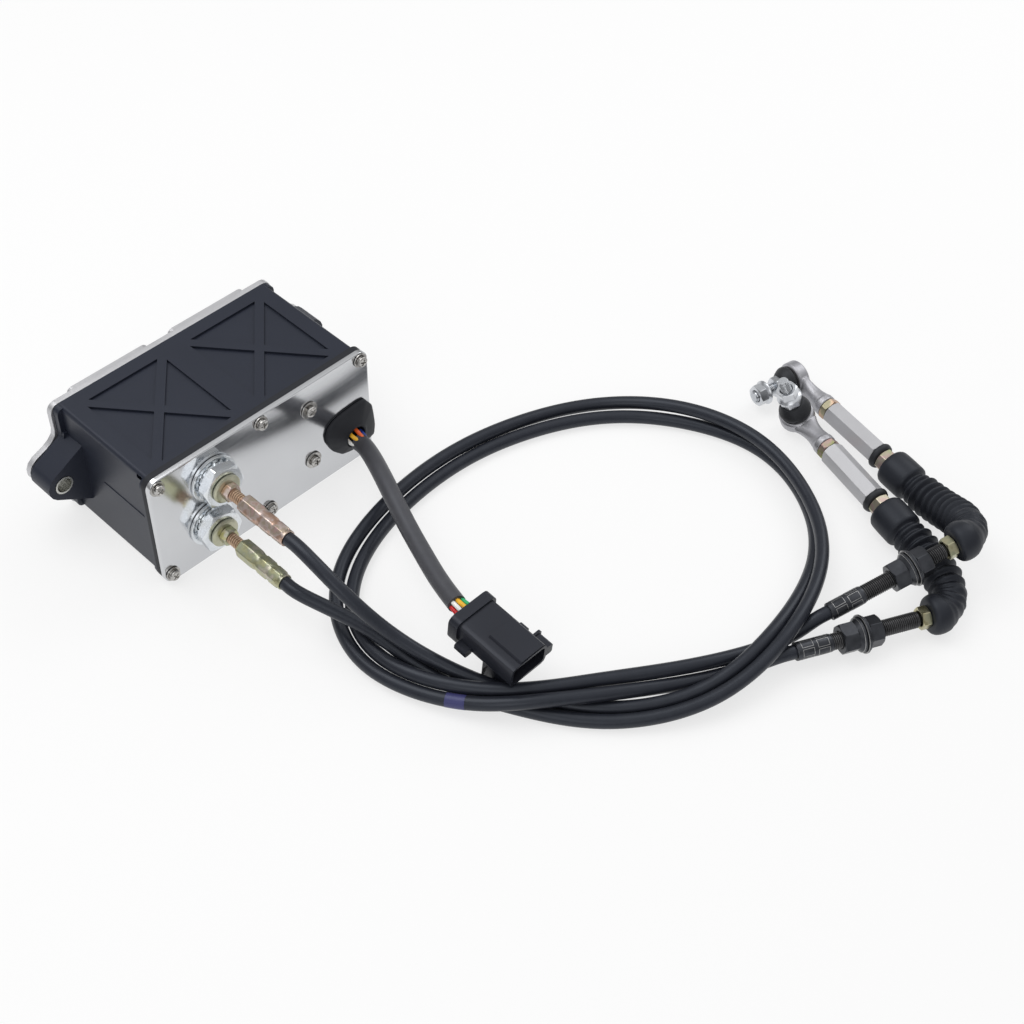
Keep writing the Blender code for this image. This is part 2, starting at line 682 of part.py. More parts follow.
def boot_path(start, out, end, back, pull_out, pull_back):
    """Centre line of a boot: one smooth bend from the hub, then straight through the cuff."""
    start, end, out, back = (np.array(v, float) for v in (start, end, out, back))
    out = out / np.linalg.norm(out)
    p0, p3 = start + out * 3.0, end + back * CUFF_LEN
    p1 = p0 + out * pull_out
    p2 = p3 + back * pull_back
    t = np.linspace(0.0, 1.0, 400)[:, None]
    pts = (1 - t) ** 3 * p0 + 3 * (1 - t) ** 2 * t * p1 + 3 * (1 - t) * t ** 2 * p2 + t ** 3 * p3
    pts = np.concatenate((start[None], pts, end + back * np.linspace(CUFF_LEN - 1.0, 0.0, 22)[:, None]))
    run = np.r_[0.0, np.cumsum(np.linalg.norm(np.diff(pts, axis=0), axis=1))]
    return pts, run


def boot(side, start, out, end, back, pull_out, pull_back):
    """Rubber bellows with a plain cuff at the link and a plain mouth at the hub."""
    pts, run = boot_path(start, out, end, back, pull_out, pull_back)
    total = run[-1]
    mouth = 9.0
    marks, radii = [0.0, 1.0, mouth - 2.0], [9.4, 10.8, BOOT_R - 0.6]
    fold = total - CUFF_LEN - mouth
    count = round(fold / PLEAT)
    for i in range(count):
        at = mouth + fold * i / count
        marks += [at, at + 0.5 * fold / count]
        radii += [BOOT_ROOT_R, BOOT_R - 0.2]
    marks += [total - CUFF_LEN, total - CUFF_LEN + 2.0, total - 12.0, total - 1.0, total]
    radii += [BOOT_ROOT_R + 0.6, BOOT_R - 0.4, BOOT_R, BOOT_R, BOOT_R - 0.8]
    inner = [0.0, 1.0] + list(np.linspace(8.0, total - CUFF_LEN, 9)) + [total]
    path, core = (np.stack([np.interp(m, run, pts[:, i]) for i in range(3)], axis=1) for m in (marks, inner))
    return make(side + "_boot", swept(path, radii, core, BOOT_BORE), RUBBER)


def link(side, ball, direction, roll, lean, nut_at, colours):
    """Turnbuckle, rod end and ball stud; all on the line from ball to boot."""
    d = Vector(direction).normalized()
    left = UP.cross(d)
    eye = (UP * math.cos(math.radians(roll)) + left * math.sin(math.radians(roll))).normalized()
    f = axis_frame(ball, -d, eye)
    s = SHANK_END + GAP
    nut_1, nut_2 = colours
    shape = prism(hexagon(LINK_NUT_AF, 0.4), s, s + FRONT_NUT_T)
    make(side + "_front_lock_nut", placed(shape, f), nut_1, ball)
    s += FRONT_NUT_T + GAP
    make(side + "_link_bar", placed(prism(hexagon(BAR_AF, 0.15), s, s + BAR_LEN), f), SATIN, ball)
    s += BAR_LEN + GAP
    tip = s + SEAL_T + REAR_NUT_T + TAIL_LEN
    tail = turned([(0.0, s), (TAIL_R, s), (TAIL_R, tip - 1.0), (TAIL_R - 1.0, tip), (0.0, tip)], 12)
    s += SEAL_T
    rear = make(side + "_rear_lock_nut", placed(prism(hexagon(LINK_NUT_AF, 0.1), s, s + REAR_NUT_T), f),
                nut_2, ball)
    combine(rear, [make("tail", placed(tail, f), nut_2, ball)])
    cuff = Vector(ball) - d * (s + REAR_NUT_T + GAP)
    rod_end(side, ball, d, eye)
    stud(side, ball, d, eye, math.radians(lean), nut_at)
    return cuff


def rod_end(side, ball, d, eye):
    """Cast eye with a seat for the ball, and a shank that tapers to a round."""
    e = axis_frame(ball, eye, -d)
    t = EYE_T / 2
    k = math.sqrt(BALL_SEAT_R ** 2 - t ** 2) if BALL_SEAT_R > t else BALL_SEAT_R
    seat = [(math.sqrt(max(BALL_SEAT_R ** 2 - h ** 2, k * k)), h) for h in np.linspace(t, -t, 5)]
    ring = turned([(EYE_R - 0.8, -t), (EYE_R, -t + 0.8), (EYE_R, t - 0.8), (EYE_R - 0.8, t)] + seat, 18,
                  closed=True)
    body = make(side + "_rod_end", placed(ring, e), CAST, ball)
    rings = []
    for s, w, h in ((9.2, 9.0, 4.0), (13.0, 7.6, 4.4), (20.0, 6.0, 5.4), (28.0, 7.0, 7.0),
                    (SHANK_END, 7.0, 7.0)):
        rings.append([(s, w * math.cos(a), h * math.sin(a)) for a in np.linspace(0, 2 * math.pi, 11)[:-1]])
    m = 10
    verts = [p for ring_pts in rings for p in ring_pts]
    faces = [tuple(range(m)), tuple(range(len(verts) - m, len(verts)))]
    for j in range(len(rings) - 1):
        for i in range(m):
            a, b = j * m + i, j * m + (i + 1) % m
            faces.append((a, b, b + m, a + m))
    combine(body, [make("shank", placed((verts, faces), e), CAST, ball)])
    return body


def dust_cap(side, ball, eye_frame, lean):
    """Rubber cap: its lip lies on the eye and its neck leans with the stud."""
    low = EYE_T / 2 + 1.2
    top = low + CAP_T
    lip, neck = NECK_R + 1.4, NECK_R + GAP
    rows = [(lip, low, 0.0), (CAP_R - 0.6, low, 0.0), (CAP_R, low + 1.2, 0.1), (CAP_R, low + 3.2, 0.4),
            (CAP_TOP_R, top - 0.8, 1.0), (CAP_TOP_R - 0.8, top, 1.0), (neck, top, 1.0),
            (neck, low + 3.6, 0.9)]
    verts, faces = turned([(r, h) for r, h, _ in rows], 16, closed=True)
    placed_verts = []
    for i, v in enumerate(verts):
        share = rows[i // 16][2]
        placed_verts.append(eye_frame @ (Matrix.Rotation(lean * share, 4, "Y") @ Vector(v)))
    make(side + "_dust_cap", (placed_verts, faces), RUBBER, ball)


def stud(side, ball, d, eye, lean, nut_at):
    """Ball stud with its hexagon shoulder and thread, its dust cap and its nut."""
    eye_frame = axis_frame(ball, eye, -d)
    dust_cap(side, ball, eye_frame, -lean)
    e = eye_frame @ Matrix.Rotation(-lean, 4, "Y")
    steps = np.linspace(-math.pi / 2, math.radians(56), 7)
    lower = [(BALL_R * math.cos(a), BALL_R * math.sin(a)) for a in steps]
    lower[0] = (0.0, -BALL_R)
    shoulder = EYE_T / 2 + 1.2 + CAP_T + GAP
    seat = shoulder + SHOULDER_T
    tip = seat + BOLT_LEN
    profile = lower + [(NECK_R, shoulder), (SHOULDER_AF / 2 - 0.3, shoulder),
                       (SHOULDER_AF / 2 - 0.3, shoulder + 1.0),
                       (BOLT_R, shoulder + 1.0), (BOLT_R, tip - 1.0), (BOLT_R - 1.0, tip), (0.0, tip)]
    body = make(side + "_ball_stud", placed(turned(profile, 12), e), ZINC, ball)
    hexa = prism(hexagon(SHOULDER_AF, 0.3), shoulder, seat, [circle(BOLT_R - 0.6, 8)])
    combine(body, [make("hex", placed(hexa, e), ZINC, ball)])
    low = seat + nut_at
    inner = BOLT_R + GAP
    ring = turned([(inner, low), (STUD_FLANGE_R, low), (STUD_FLANGE_R, low + 1.2), (6.6, low + 2.6),
                   (inner, low + 2.6)],
                  12, closed=True)
    nut = make(side + "_stud_nut", placed(ring, e), ZINC, ball)
    body = prism(hexagon(STUD_NUT_AF, 0.1), low + 2.0, low + STUD_NUT_T, [circle(inner, 12)])
    combine(nut, [make("hex", placed(body, e), ZINC, ball)])


def grommet():
    """Rubber D with a thin lip, a low dome and a short tip that meets the sleeve."""
    y0 = PLATE_FRONT - GAP
    steps = ((1.0, 0.0), (1.0, GROMMET_LIP), (0.93, GROMMET_LIP + 1.2), (0.66, GROMMET_DOME - 0.5),
             (0.42, GROMMET_DOME))
    verts, faces, m = [], [], len(grommet_outline())
    for share, out in steps:
        verts += [(x, y0 - out, z) for x, z in grommet_outline(share)]
    for j in range(len(steps) - 1):
        for i in range(m):
            a, b = j * m + i, j * m + (i + 1) % m
            faces.append((a, b, b + m, a + m))
    faces += [tuple(range(m)), tuple(range(len(verts) - m, len(verts)))]
    body = make("grommet", (verts, faces), RUBBER)
    neck = circle(GROMMET_NECK_R, 12, GROMMET_X, GROMMET_Z)
    tip = circle(GROMMET_TIP_R, 12, SLEEVE_X, SLEEVE_Z)
    adds = [make("neck", along_y(neck, y0 - 1.0, PLATE_FRONT + PLATE_T), RUBBER),
            make("tip", along_y(tip, y0 - GROMMET_T, y0 - 2.5), RUBBER)]
    return combine(body, adds)


def plug_frame():
    rear, front = Vector(PLUG_REAR), Vector(PLUG_FRONT)
    return axis_frame(rear, front - rear, UP)


def plug():
    """Rectangular connector: rear cover, body, hollow mouth, keel and side lugs."""
    f = plug_frame()
    w, h, n = PLUG_W, PLUG_H, PLUG_LEN
    body = make("connector", placed(prism(round_rect(h, w, 3.5, steps=2), 6.0, n), f), BLACK)
    adds = [
        ("cover", round_rect(h + 3.0, w + 3.4, 4.6, steps=3), 0.0, 7.0),
        ("raised", round_rect(2.6, w - 9.0, 1.0, h / 2, -2.6, steps=1), 24.0, n - 0.4),
        ("tab", round_rect(8.0, 4.6, 1.0, -2.5, -w / 2 - 1.8, steps=1), 26.0, 32.0),
        ("lug", round_rect(10.0, 8.0, 1.0, -2.6, -w / 2 - 3.5, steps=1), 37.0, 38.8),
        ("lug", round_rect(8.0, 7.0, 1.0, -2.5, -w / 2 - 3.0, steps=1), 38.0, n - 1.0),
        ("tab", round_rect(5.0, 6.0, 1.0, -h / 2 + 3.0, w / 2 + 2.0, steps=1), 9.0, 18.0),
        ("web", round_rect(4.0, 2.8, 0.6, -h / 2 + 0.4, 8.6, steps=1), 23.5, n - 2.0),
        ("foot", round_rect(40.0, 2.6, 0.6, -h / 2 - 19.0, 8.6, steps=1), 23.8, 29.0),
    ]
    solids = [make(name, placed(prism(outline, lo, hi), f), BLACK) for name, outline, lo, hi in adds]
    combine(body, solids)
    mouth = round_rect(h - 2 * PLUG_WALL, w - 2 * PLUG_WALL, 2.4, steps=2)
    floor = prism(round_rect(200.0, 200.0, 1.0, PLUG_REAR[0], PLUG_REAR[1], steps=1), -60.0, 0.0)
    cuts = [make("mouth", placed(prism(mouth, n - PLUG_MOUTH, n + 5.0), f), BLACK),
            make("floor", floor, BLACK)]
    combine(body, cuts, "DIFFERENCE")
    base = prism(round_rect(h - 6.0, w - 6.0, 1.0, steps=1), n - PLUG_MOUTH + GAP, n - PLUG_MOUTH + 2.5)
    pins = make("connector_pins", placed(base, f), BRASS)
    rods = []
    for row in (-3.0, 3.0):
        for col in (-8.0, 0.0, 8.0):
            pin = prism(round_rect(1.4, 2.4, 0.3, row, col, steps=1), n - PLUG_MOUTH + 2.0, n - 7.0)
            rods.append(make("pin", placed(pin, f), BRASS))
    combine(pins, rods)
    return body


def gear_outline(teeth, turn=0.0):
    """Involute spur gear outline with backlash, by tooth flank points."""
    pitch = GEAR_MODULE * teeth / 2
    base = pitch * math.cos(math.radians(20))
    tip, root = pitch + ADDENDUM * GEAR_MODULE, pitch - 1.25 * GEAR_MODULE
    inv = math.tan(math.radians(20)) - math.radians(20)
    half = (math.pi / 2 - 0.16) / teeth + inv
    tip_a = math.acos(base / tip)
    rim = [(root, half + 0.01), (tip, half - math.tan(tip_a) + tip_a)]
    pts = []
    for k in range(teeth):
        mid = turn + 2 * math.pi * k / teeth
        pts += [(r * math.cos(mid - w), r * math.sin(mid - w)) for r, w in rim]
        pts += [(r * math.cos(mid + w), r * math.sin(mid + w)) for r, w in reversed(rim)]
    return pts


def drum_frame():
    return axis_frame((0.0, DRUM_Y, (UPPER_Z + LOWER_Z) / 2), (1.0, 0.0, 0.0), UP)


def motor_frame():
    """The motor sits one gear distance from the drum."""
    reach = GEAR_MODULE * (DRUM_TEETH + PINION_TEETH) / 2
    slope = math.radians(MESH_ANGLE)
    z = (UPPER_Z + LOWER_Z) / 2 + reach * math.sin(slope)
    return axis_frame((0.0, DRUM_Y + reach * math.cos(slope), z), (1.0, 0.0, 0.0), UP)


def drum():
    """Two-groove cable drum with its shaft and gear in one piece."""
    f = drum_frame()
    axis = f.translation
    groove = (UPPER_Z - LOWER_Z) / 2 - WIRE_R - GAP
    lip = groove + DRUM_RIM
    x0, x1 = LOWER_X - 4.5, UPPER_X + 4.5
    mid = (UPPER_X + LOWER_X) / 2
    r, (low, high) = SHAFT_R, DRUM_ENDS
    profile = [(0.0, low), (r, low), (r, x0), (lip, x0), (groove, LOWER_X - 1.8), (groove, LOWER_X + 1.5),
               (lip, mid),
               (groove, UPPER_X - 1.5), (groove, UPPER_X + 1.8), (lip, x1), (r, x1), (r, high), (0.0, high)]
    body = make("drum", placed(turned(profile, 20), f), BRASS, axis)
    wheel = prism(gear_outline(DRUM_TEETH), GEAR_X - GEAR_T / 2, GEAR_X + GEAR_T / 2)
    hub = turned([(0.0, x1 - 1.0), (9.0, x1 - 1.0), (9.0, GEAR_X), (0.0, GEAR_X)], 16)
    combine(body, [make("hub", placed(hub, f), BRASS, axis), make("gear", placed(wheel, f), BRASS, axis)])


def pinion():
    """Motor pinion, turned so that a gap faces the drum's nearest tooth."""
    f = motor_frame()
    axis = f.translation
    line = axis - drum_frame().translation
    aim = math.atan2(-line.y, line.z)
    step = 2 * math.pi / DRUM_TEETH
    turn = aim + math.pi + aim % step * DRUM_TEETH / PINION_TEETH + math.pi / PINION_TEETH
    teeth = prism(gear_outline(PINION_TEETH, turn), GEAR_X - GEAR_T / 2 - 0.5, GEAR_X + GEAR_T / 2 + 0.5)
    end = BRACKET_X[1] + SHEET
    r = PINION_SHAFT_R
    shaft = turned([(0.0, GEAR_X - 5.0), (r, GEAR_X - 5.0), (r, end), (0.0, end)], 12)
    body = make("motor_pinion", placed(teeth, f), STEEL, axis)
    combine(body, [make("shaft", placed(shaft, f), STEEL, axis)])


def motor():
    """Motor can, screwed to the long wall of the bracket."""
    x = BRACKET_X[1] + SHEET + GAP
    r, n = MOTOR_R, MOTOR_LEN
    profile = [(0.0, x), (r - 1.5, x), (r, x + 1.5), (r, x + n - 1.5), (r - 1.5, x + n), (0.0, x + n)]
    make("motor", placed(turned(profile, 24), motor_frame()), STEEL)


def position_sensor():
    """Ring sensor on the drum's shaft, outside the short wall."""
    inner, end = SHAFT_R + GAP, BRACKET_X[0] - GAP
    ring = turned([(inner, end - 9.0), (11.0, end - 9.0), (11.0, end), (inner, end)], 16, closed=True)
    make("position_sensor", placed(ring, drum_frame()), BLACK)


def wires():
    """Inner wires, tangent to the drum and running into the fittings."""
    for side, x, z in (("upper", UPPER_X, UPPER_Z), ("lower", LOWER_X, LOWER_Z)):
        at = (x, DRUM_Y, z)
        shape = turned([(0.0, 0.0), (WIRE_R, 0.0), (WIRE_R, WIRE_LEN), (0.0, WIRE_LEN)], 8)
        make(side + "_wire", placed(shape, axis_frame(at, (0.0, -1.0, 0.0))), STEEL, at)


def motor_bracket():
    """Folded sheet behind the plate: two walls carry the drum, the long one the motor."""
    left, right, end = BRACKET_X
    y0, t = PLATE_FRONT + PLATE_T + BRACKET_IN, SHEET
    y1, y2 = BRACKET_REACH
    pts = [(left, y0), (end, y0), (end, y0 + t), (right + t, y0 + t), (right + t, y2), (right, y2),
           (right, y0 + t),
           (left + t, y0 + t), (left + t, y1), (left, y1)]
    body = make("motor_bracket", prism(pts, *BRACKET_Z), STEEL)
    cuts = []
    for x, z in ((UPPER_X, UPPER_Z), (LOWER_X, LOWER_Z)):
        cuts.append(make("hole", along_y(circle(GLAND_R + 0.6, 16, x, z), y0 - 3, y0 + t + 3), STEEL))
    for z in BRACKET_SCREW_Z:
        cuts.append(make("hole", along_y(circle(SCREW_R + GAP, 12, BRACKET_SCREW_X, z), y0 - 3,
                                         y0 + t + 3), STEEL))
    cuts.append(make("hole", placed(prism(circle(SHAFT_R + GAP, 16), left - 5, right + 8), drum_frame()),
                     STEEL))
    cuts.append(make("hole", placed(prism(circle(PINION_SHAFT_R + 1.0, 12), right - 3, right + 8),
                                    motor_frame()), STEEL))
    return combine(body, cuts, "DIFFERENCE")


UPPER_ROUTE = (
    (-39.0, -157.0, 54.0), (-25.5, -194.5, 25.5), (-1.0, -247.5, 7.0), (34.5, -303.0, 5.0),
    (82.0, -336.5, 10.0), (134.0, -343.0, 19.0), (201.5, -324.0, 11.0), (243.0, -290.0, 5.5),
    (263.0, -235.5, 4.5), (244.0, -177.0, 4.5), (204.0, -135.0, 4.5), (147.5, -110.0, 4.5),
    (93.5, -103.5, 4.5), (28.5, -114.5, 4.5), (-19.5, -147.5, 6.0), (-33.0, -197.5, 10.0),
    (-4.0, -255.5, 13.5), (42.5, -292.0, 14.0), (92.0, -324.0, 13.0), (148.5, -347.5, 10.0),
)
LOWER_ROUTE = (
    (-31.5, -161.0, 22.0), (-18.5, -223.0, 5.5), (0.0, -269.5, 5.0), (30.5, -312.0, 4.5),
    (82.0, -346.5, 12.0), (143.5, -350.5, 21.5), (203.5, -328.5, 19.0), (242.5, -289.0, 14.5),
    (262.0, -233.0, 13.5), (249.5, -175.5, 12.5), (213.5, -127.5, 6.0), (158.0, -104.5, 8.5),
    (102.0, -96.0, 9.5), (37.5, -103.0, 9.0), (-14.5, -127.5, 5.0), (-41.5, -182.5, 5.0),
    (-24.5, -241.0, 8.0), (3.0, -275.5, 14.5), (67.5, -318.0, 9.0), (111.5, -341.5, 6.5),
)
SLEEVE_ROUTE = ((51.0, -95.0, 30.0), (36.0, -127.0, 29.0), (25.0, -153.0, 29.0), (17.5, -179.0, 30.5))


def cord_points(points, first, last, step):
    """Route points with a short straight piece at both ends, square to the faces there."""
    pts = [tuple(p) for p in smooth_route(points, step)]
    start, end = Vector(pts[0]), Vector(pts[-1])
    lead, tail = Vector(first).normalized() * 4.0, Vector(last).normalized() * 4.0
    return [start, start + lead] + pts[1:-1] + [end - tail, end]


def cables(upper_start, lower_start):
    """Both control cables: over each other, round the large loop, and under the loop's right side."""
    for name, start, route, at, direction in (
        ("upper_conduit", upper_start, UPPER_ROUTE, UPPER_HUB_AT, UPPER_HUB_DIR),
        ("lower_conduit", lower_start, LOWER_ROUTE, LOWER_HUB_AT, LOWER_HUB_DIR),
    ):
        d = Vector(direction).normalized()
        end = Vector(at) - d * GAP
        points = [start, (start[0], start[1] - 9.0, start[2])] + list(route)
        points += [tuple(end - d * 9.0), tuple(end)]
        tube(name, cord_points(points, (0.0, -1.0, 0.0), d, CABLE_STEP), CONDUIT_R, RUBBER)


def sleeve():
    """Harness sleeve from the grommet to the plug."""
    rear, front = Vector(PLUG_REAR), Vector(PLUG_FRONT)
    d = (front - rear).normalized()
    end = rear - d * GAP
    start = (SLEEVE_X, PLATE_FRONT - 2 * GAP - GROMMET_T, SLEEVE_Z)
    points = [start, (start[0], start[1] - 6.0, start[2])] + list(SLEEVE_ROUTE)
    points += [tuple(end - d * 9.0), tuple(end)]
    tube("harness_sleeve", cord_points(points, (0.0, -1.0, 0.0), d, SLEEVE_STEP), SLEEVE_R, PVC, 3)


def main():
    for obj in list(bpy.data.objects):
        bpy.data.objects.remove(obj)
    housing()
    back_cover()
    bushings()
    front_plate()
    screws()
    upper_start = fitting("upper", UPPER_X, UPPER_Z, OLIVE, COPPER)
    lower_start = fitting("lower", LOWER_X, LOWER_Z, OLIVE, OLIVE)
    drum()
    pinion()
    motor()
    position_sensor()
    wires()
    motor_bracket()
    grommet()
    plug()
    sleeve()
    u0 = hub_end("upper", UPPER_HUB_AT, UPPER_HUB_DIR, UPPER_NUTS)
    l0 = hub_end("lower", LOWER_HUB_AT, LOWER_HUB_DIR, LOWER_NUTS)
    u1 = link("upper", UPPER_BALL, UPPER_LINK_DIR, UPPER_EYE_ROLL, UPPER_LEAN, UPPER_NUT_AT, (COPPER, OLIVE))
    l1 = link("lower", LOWER_BALL, LOWER_LINK_DIR, LOWER_EYE_ROLL, LOWER_LEAN, LOWER_NUT_AT, (COPPER, OLIVE))
    boot("upper", u0, UPPER_HUB_DIR, u1, -Vector(UPPER_LINK_DIR), 24.0, 38.0)
    boot("lower", l0, LOWER_HUB_DIR, l1, -Vector(LOWER_LINK_DIR), 24.0, 38.0)
    cables(upper_start, lower_start)


if __name__ == "__main__":
    main()
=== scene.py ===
"""Dresses the engine governor actuator: finishes, threads, pleats, wires and the studio."""

import math

import bmesh
import bpy
import numpy as np
from mathutils import Matrix, Vector


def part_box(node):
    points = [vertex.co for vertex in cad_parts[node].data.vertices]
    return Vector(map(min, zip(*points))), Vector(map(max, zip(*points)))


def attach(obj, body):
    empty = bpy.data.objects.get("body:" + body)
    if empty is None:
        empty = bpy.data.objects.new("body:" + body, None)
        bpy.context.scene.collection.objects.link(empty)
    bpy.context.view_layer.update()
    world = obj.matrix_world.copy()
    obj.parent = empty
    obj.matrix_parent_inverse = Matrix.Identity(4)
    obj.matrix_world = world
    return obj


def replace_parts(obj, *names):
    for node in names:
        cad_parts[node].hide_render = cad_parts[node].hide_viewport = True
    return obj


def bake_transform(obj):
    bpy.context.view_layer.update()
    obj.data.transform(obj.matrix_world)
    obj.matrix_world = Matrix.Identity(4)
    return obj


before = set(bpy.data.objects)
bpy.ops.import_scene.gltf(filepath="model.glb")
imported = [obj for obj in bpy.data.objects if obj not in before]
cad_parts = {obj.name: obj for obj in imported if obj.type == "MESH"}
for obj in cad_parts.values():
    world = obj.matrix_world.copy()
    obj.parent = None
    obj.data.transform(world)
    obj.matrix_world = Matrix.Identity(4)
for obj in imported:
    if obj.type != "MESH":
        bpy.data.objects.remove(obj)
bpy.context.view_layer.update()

bl_info = {
    "name": "Governor actuator dressing",
    "version": (1, 0, 0),
    "blender": (4, 5, 0),
    "location": "View3D > Sidebar > Governor",
    "description": "Finishes and details for a two-cable engine governor actuator",
    "category": "Object",
}

# Sizes and places below are in millimetres unless a comment says otherwise
MM = 0.001
UP = Vector((0.0, 0.0, 1.0))
ROOT = "actuator"

# Front plate, its cable fittings and the clearance between pieces that seat
UPPER_X, UPPER_Z = -40.7, 64.0
LOWER_X, LOWER_Z = -46.5, 29.5
PLATE_Y, PLATE_CORNER, RIM_DEPTH = -50.0, 7.0, 4.6
GAP = 0.3

# Cables: where they leave their ferrules, their straight ends, and the tape along the lower one
CABLE_START_Y = -119.8
STRAIGHT, JACKET_LIFT, BARE_WIRES = 9.0, 0.3, 9.0
TAPE_FROM, TAPE_TO, TAPE_T = 1000.0, 1016.0, 0.12

# Widths across flats
ACROSS = {"bulkhead": 27.0, "gland": 10.4, "hub": 17.0, "collar": 12.8, "lock": 14.0, "bar": 14.6,
          "stud": 12.6, "lever": 13.0}

# Where each nut or bar begins and ends, from the plate or from its ball
SPAN = {"bulkhead": (4.9, 12.1), "gland": (15.0, 20.2), "front": (33.8, 38.8), "bar": (39.1, 85.6),
        "rear": (90.4, 97.0)}

# Hexagons: angles round one side in degrees, and the chamfer's face, slope and lip at the bore
HEX_MARKS = (-1.6, 1.6, 7.0, 13.0, 20.0, 26.0, 30.0, 34.0, 40.0, 47.0, 53.0)
NUT_FACE, NUT_CHAMFER, NUT_LIP = 0.485, 0.577, 0.5
TEETH, TOOTH_TWIST = 16, math.radians(26)

# Screws: washers' bore, spring washer, foot of the head and arms of the cross recess
SCREW_BORE, SPRING_Z, SPRING_T, SPRING_RISE, HEAD_Z = 2.4, 1.0, 0.75, 0.22, 2.0
ARM_HALF, ARM_REACH, ARM_SLOPE, CROSS_DEPTH = 0.48, 2.2, 0.25, 1.5

# Hubs and the crimp marks on them, whose half width is in degrees
HUB_LEN, COLLAR_T, HUB_BORE = 81.0, 6.0, 5.5
MARK_FROM, MARK_STEP, MARK_R, MARK_LEN, MARK_HALF = 3.0, 10.0, 5.72, 7.4, 25.0

# Boots: cuff, bulb, a stretch length, and the sides and bore of their mesh
CUFF_LEN, CUFF_END, BULB_LEN, STRETCH_LEN = 22.0, 97.3, 9.0, 46.0
BOOT_SIDES, BOOT_BORE = 48, 8.4

# Rod ends, ball studs and the nuts for the lever
EYE_HALF, BALL_R, SHOULDER, LEVER_BORE = 4.3, 6.2, 18.8, 4.1

# Threads, as (core radius, crest radius, from, to, pitch)
THREADS = {"fitting": (2.9, 3.9, 14.0, 31.0, 1.6), "hub": (4.45, 5.25, 0.2, HUB_LEN, 1.25),
           "stud": (3.15, 3.8, 18.6, 35.8, 1.25)}

# Cable ends: hub, its direction, ball, the link's direction and what sits on them
ENDS = {
    "upper": {
        "hub": (175.0, -356.4, 19.0), "out": (0.919, -0.3255, 0.223), "ball": (327.0, -210.7, 12.7),
        "line": (0.21, 0.978, 0.0), "roll": 90.0, "lean": 0.0, "nut_at": 7.0, "nuts": 57.0,
    },
    "lower": {
        "hub": (141.2, -358.5, 12.7), "out": (0.894, -0.447, 0.0), "ball": (299.6, -234.2, 12.7),
        "line": (0.289, 0.957, 0.0), "roll": 22.0, "lean": 8.0, "nut_at": 0.3, "nuts": 43.0,
    },
}
PLUG_REAR = (12.4, -214.3, 33.2)
PLUG_FRONT = (12.6, -264.1, 28.9)
SLEEVE_START = (66.5, -58.1, 25.0)
UPPER_ROUTE = (
    (-39.0, -157.0, 54.0), (-25.5, -194.5, 25.5), (-1.0, -247.5, 7.0), (34.5, -303.0, 5.0),
    (82.0, -336.5, 10.0), (134.0, -343.0, 19.0), (201.5, -324.0, 11.0), (243.0, -290.0, 5.5),
    (263.0, -235.5, 4.5), (244.0, -177.0, 4.5), (204.0, -135.0, 4.5), (147.5, -110.0, 4.5),
    (93.5, -103.5, 4.5), (28.5, -114.5, 4.5), (-19.5, -147.5, 6.0), (-33.0, -197.5, 10.0),
    (-4.0, -255.5, 13.5), (42.5, -292.0, 14.0), (92.0, -324.0, 13.0), (148.5, -347.5, 10.0),
)
LOWER_ROUTE = (
    (-36.5, -152.2, 22.5), (-27.2, -182.0, 16.0), (-18.5, -223.0, 5.5), (0.0, -269.5, 5.0),
    (30.5, -312.0, 4.5), (82.0, -346.5, 12.0), (143.5, -350.5, 21.5), (203.5, -328.5, 19.0),
    (242.5, -289.0, 14.5), (262.0, -233.0, 13.5), (249.5, -175.5, 12.5), (213.5, -127.5, 6.0),
    (158.0, -104.5, 8.5), (102.0, -96.0, 9.5), (37.5, -103.0, 9.0), (-14.5, -127.5, 5.0),
    (-41.5, -182.5, 5.0), (-24.5, -241.0, 8.0), (3.0, -275.5, 14.5), (67.5, -318.0, 9.0),
    (111.5, -341.5, 6.5),
)
SLEEVE_ROUTE = ((53.0, -97.5, 30.0), (38.5, -132.5, 29.0), (28.0, -160.0, 29.0), (19.0, -184.0, 31.0))

# Camera fitted to the photograph, in metres
CAMERA_AT = (-0.44505, -0.68236, 0.83419)
CAMERA_RIGHT, CAMERA_DOWN = (0.703, -0.711, 0.0183), (-0.5153, -0.5269, -0.6759)

WIRE_COLOURS = {
    "green": (0.02, 0.35, 0.13), "yellow": (0.7, 0.38, 0.02), "white": (0.7, 0.7, 0.68),
    "red": (0.5, 0.02, 0.02), "blue": (0.02, 0.05, 0.3), "orange": (0.65, 0.1, 0.015),
}

# Names of the pieces that sit on each cable's end
HUB_PIECES = ("_hub", "_flange_nut", "_jam_nut", "_hub_collar", "_hub_crimp", "_hub_thread", "_crimp_marks",
              "_flanged_nut", "_hub_washer", "_hub_rims", "_locking_nut", "_hub_hex")

# Gland collar, as (radius, distance out from the plate)
GLAND_PROFILE = ((0.0, -10.0), (8.8, -10.0), (8.8, 12.4), (9.5, 12.5), (9.8, 12.9), (9.8, 14.0), (9.2, 14.6),
                 (8.0, 14.9), (0.0, 14.9))

# Crimped ferrule, as (half width, distance out from the plate, share of hexagon)
FERRULE_ROWS = (
    (4.2, 29.4, 0.0), (4.9, 29.6, 0.4), (5.5, 30.5, 1.0), (5.6, 32.0, 1.0), (5.6, 43.6, 1.0),
    (5.5, 45.4, 0.8), (5.45, 47.0, 0.3), (5.45, 48.4, 0.3), (5.4, 49.2, 1.0), (5.35, 56.8, 1.0),
    (5.35, 57.6, 0.3), (5.3, 59.0, 0.3), (5.2, 59.8, 1.0), (5.1, 66.6, 1.0), (5.1, 67.4, 0.1),
    (5.25, 67.8, 0.0), (5.25, 69.2, 0.0), (5.0, 69.5, 0.0), (4.6, 69.5, 0.0), (4.5, 69.0, 0.0),
)

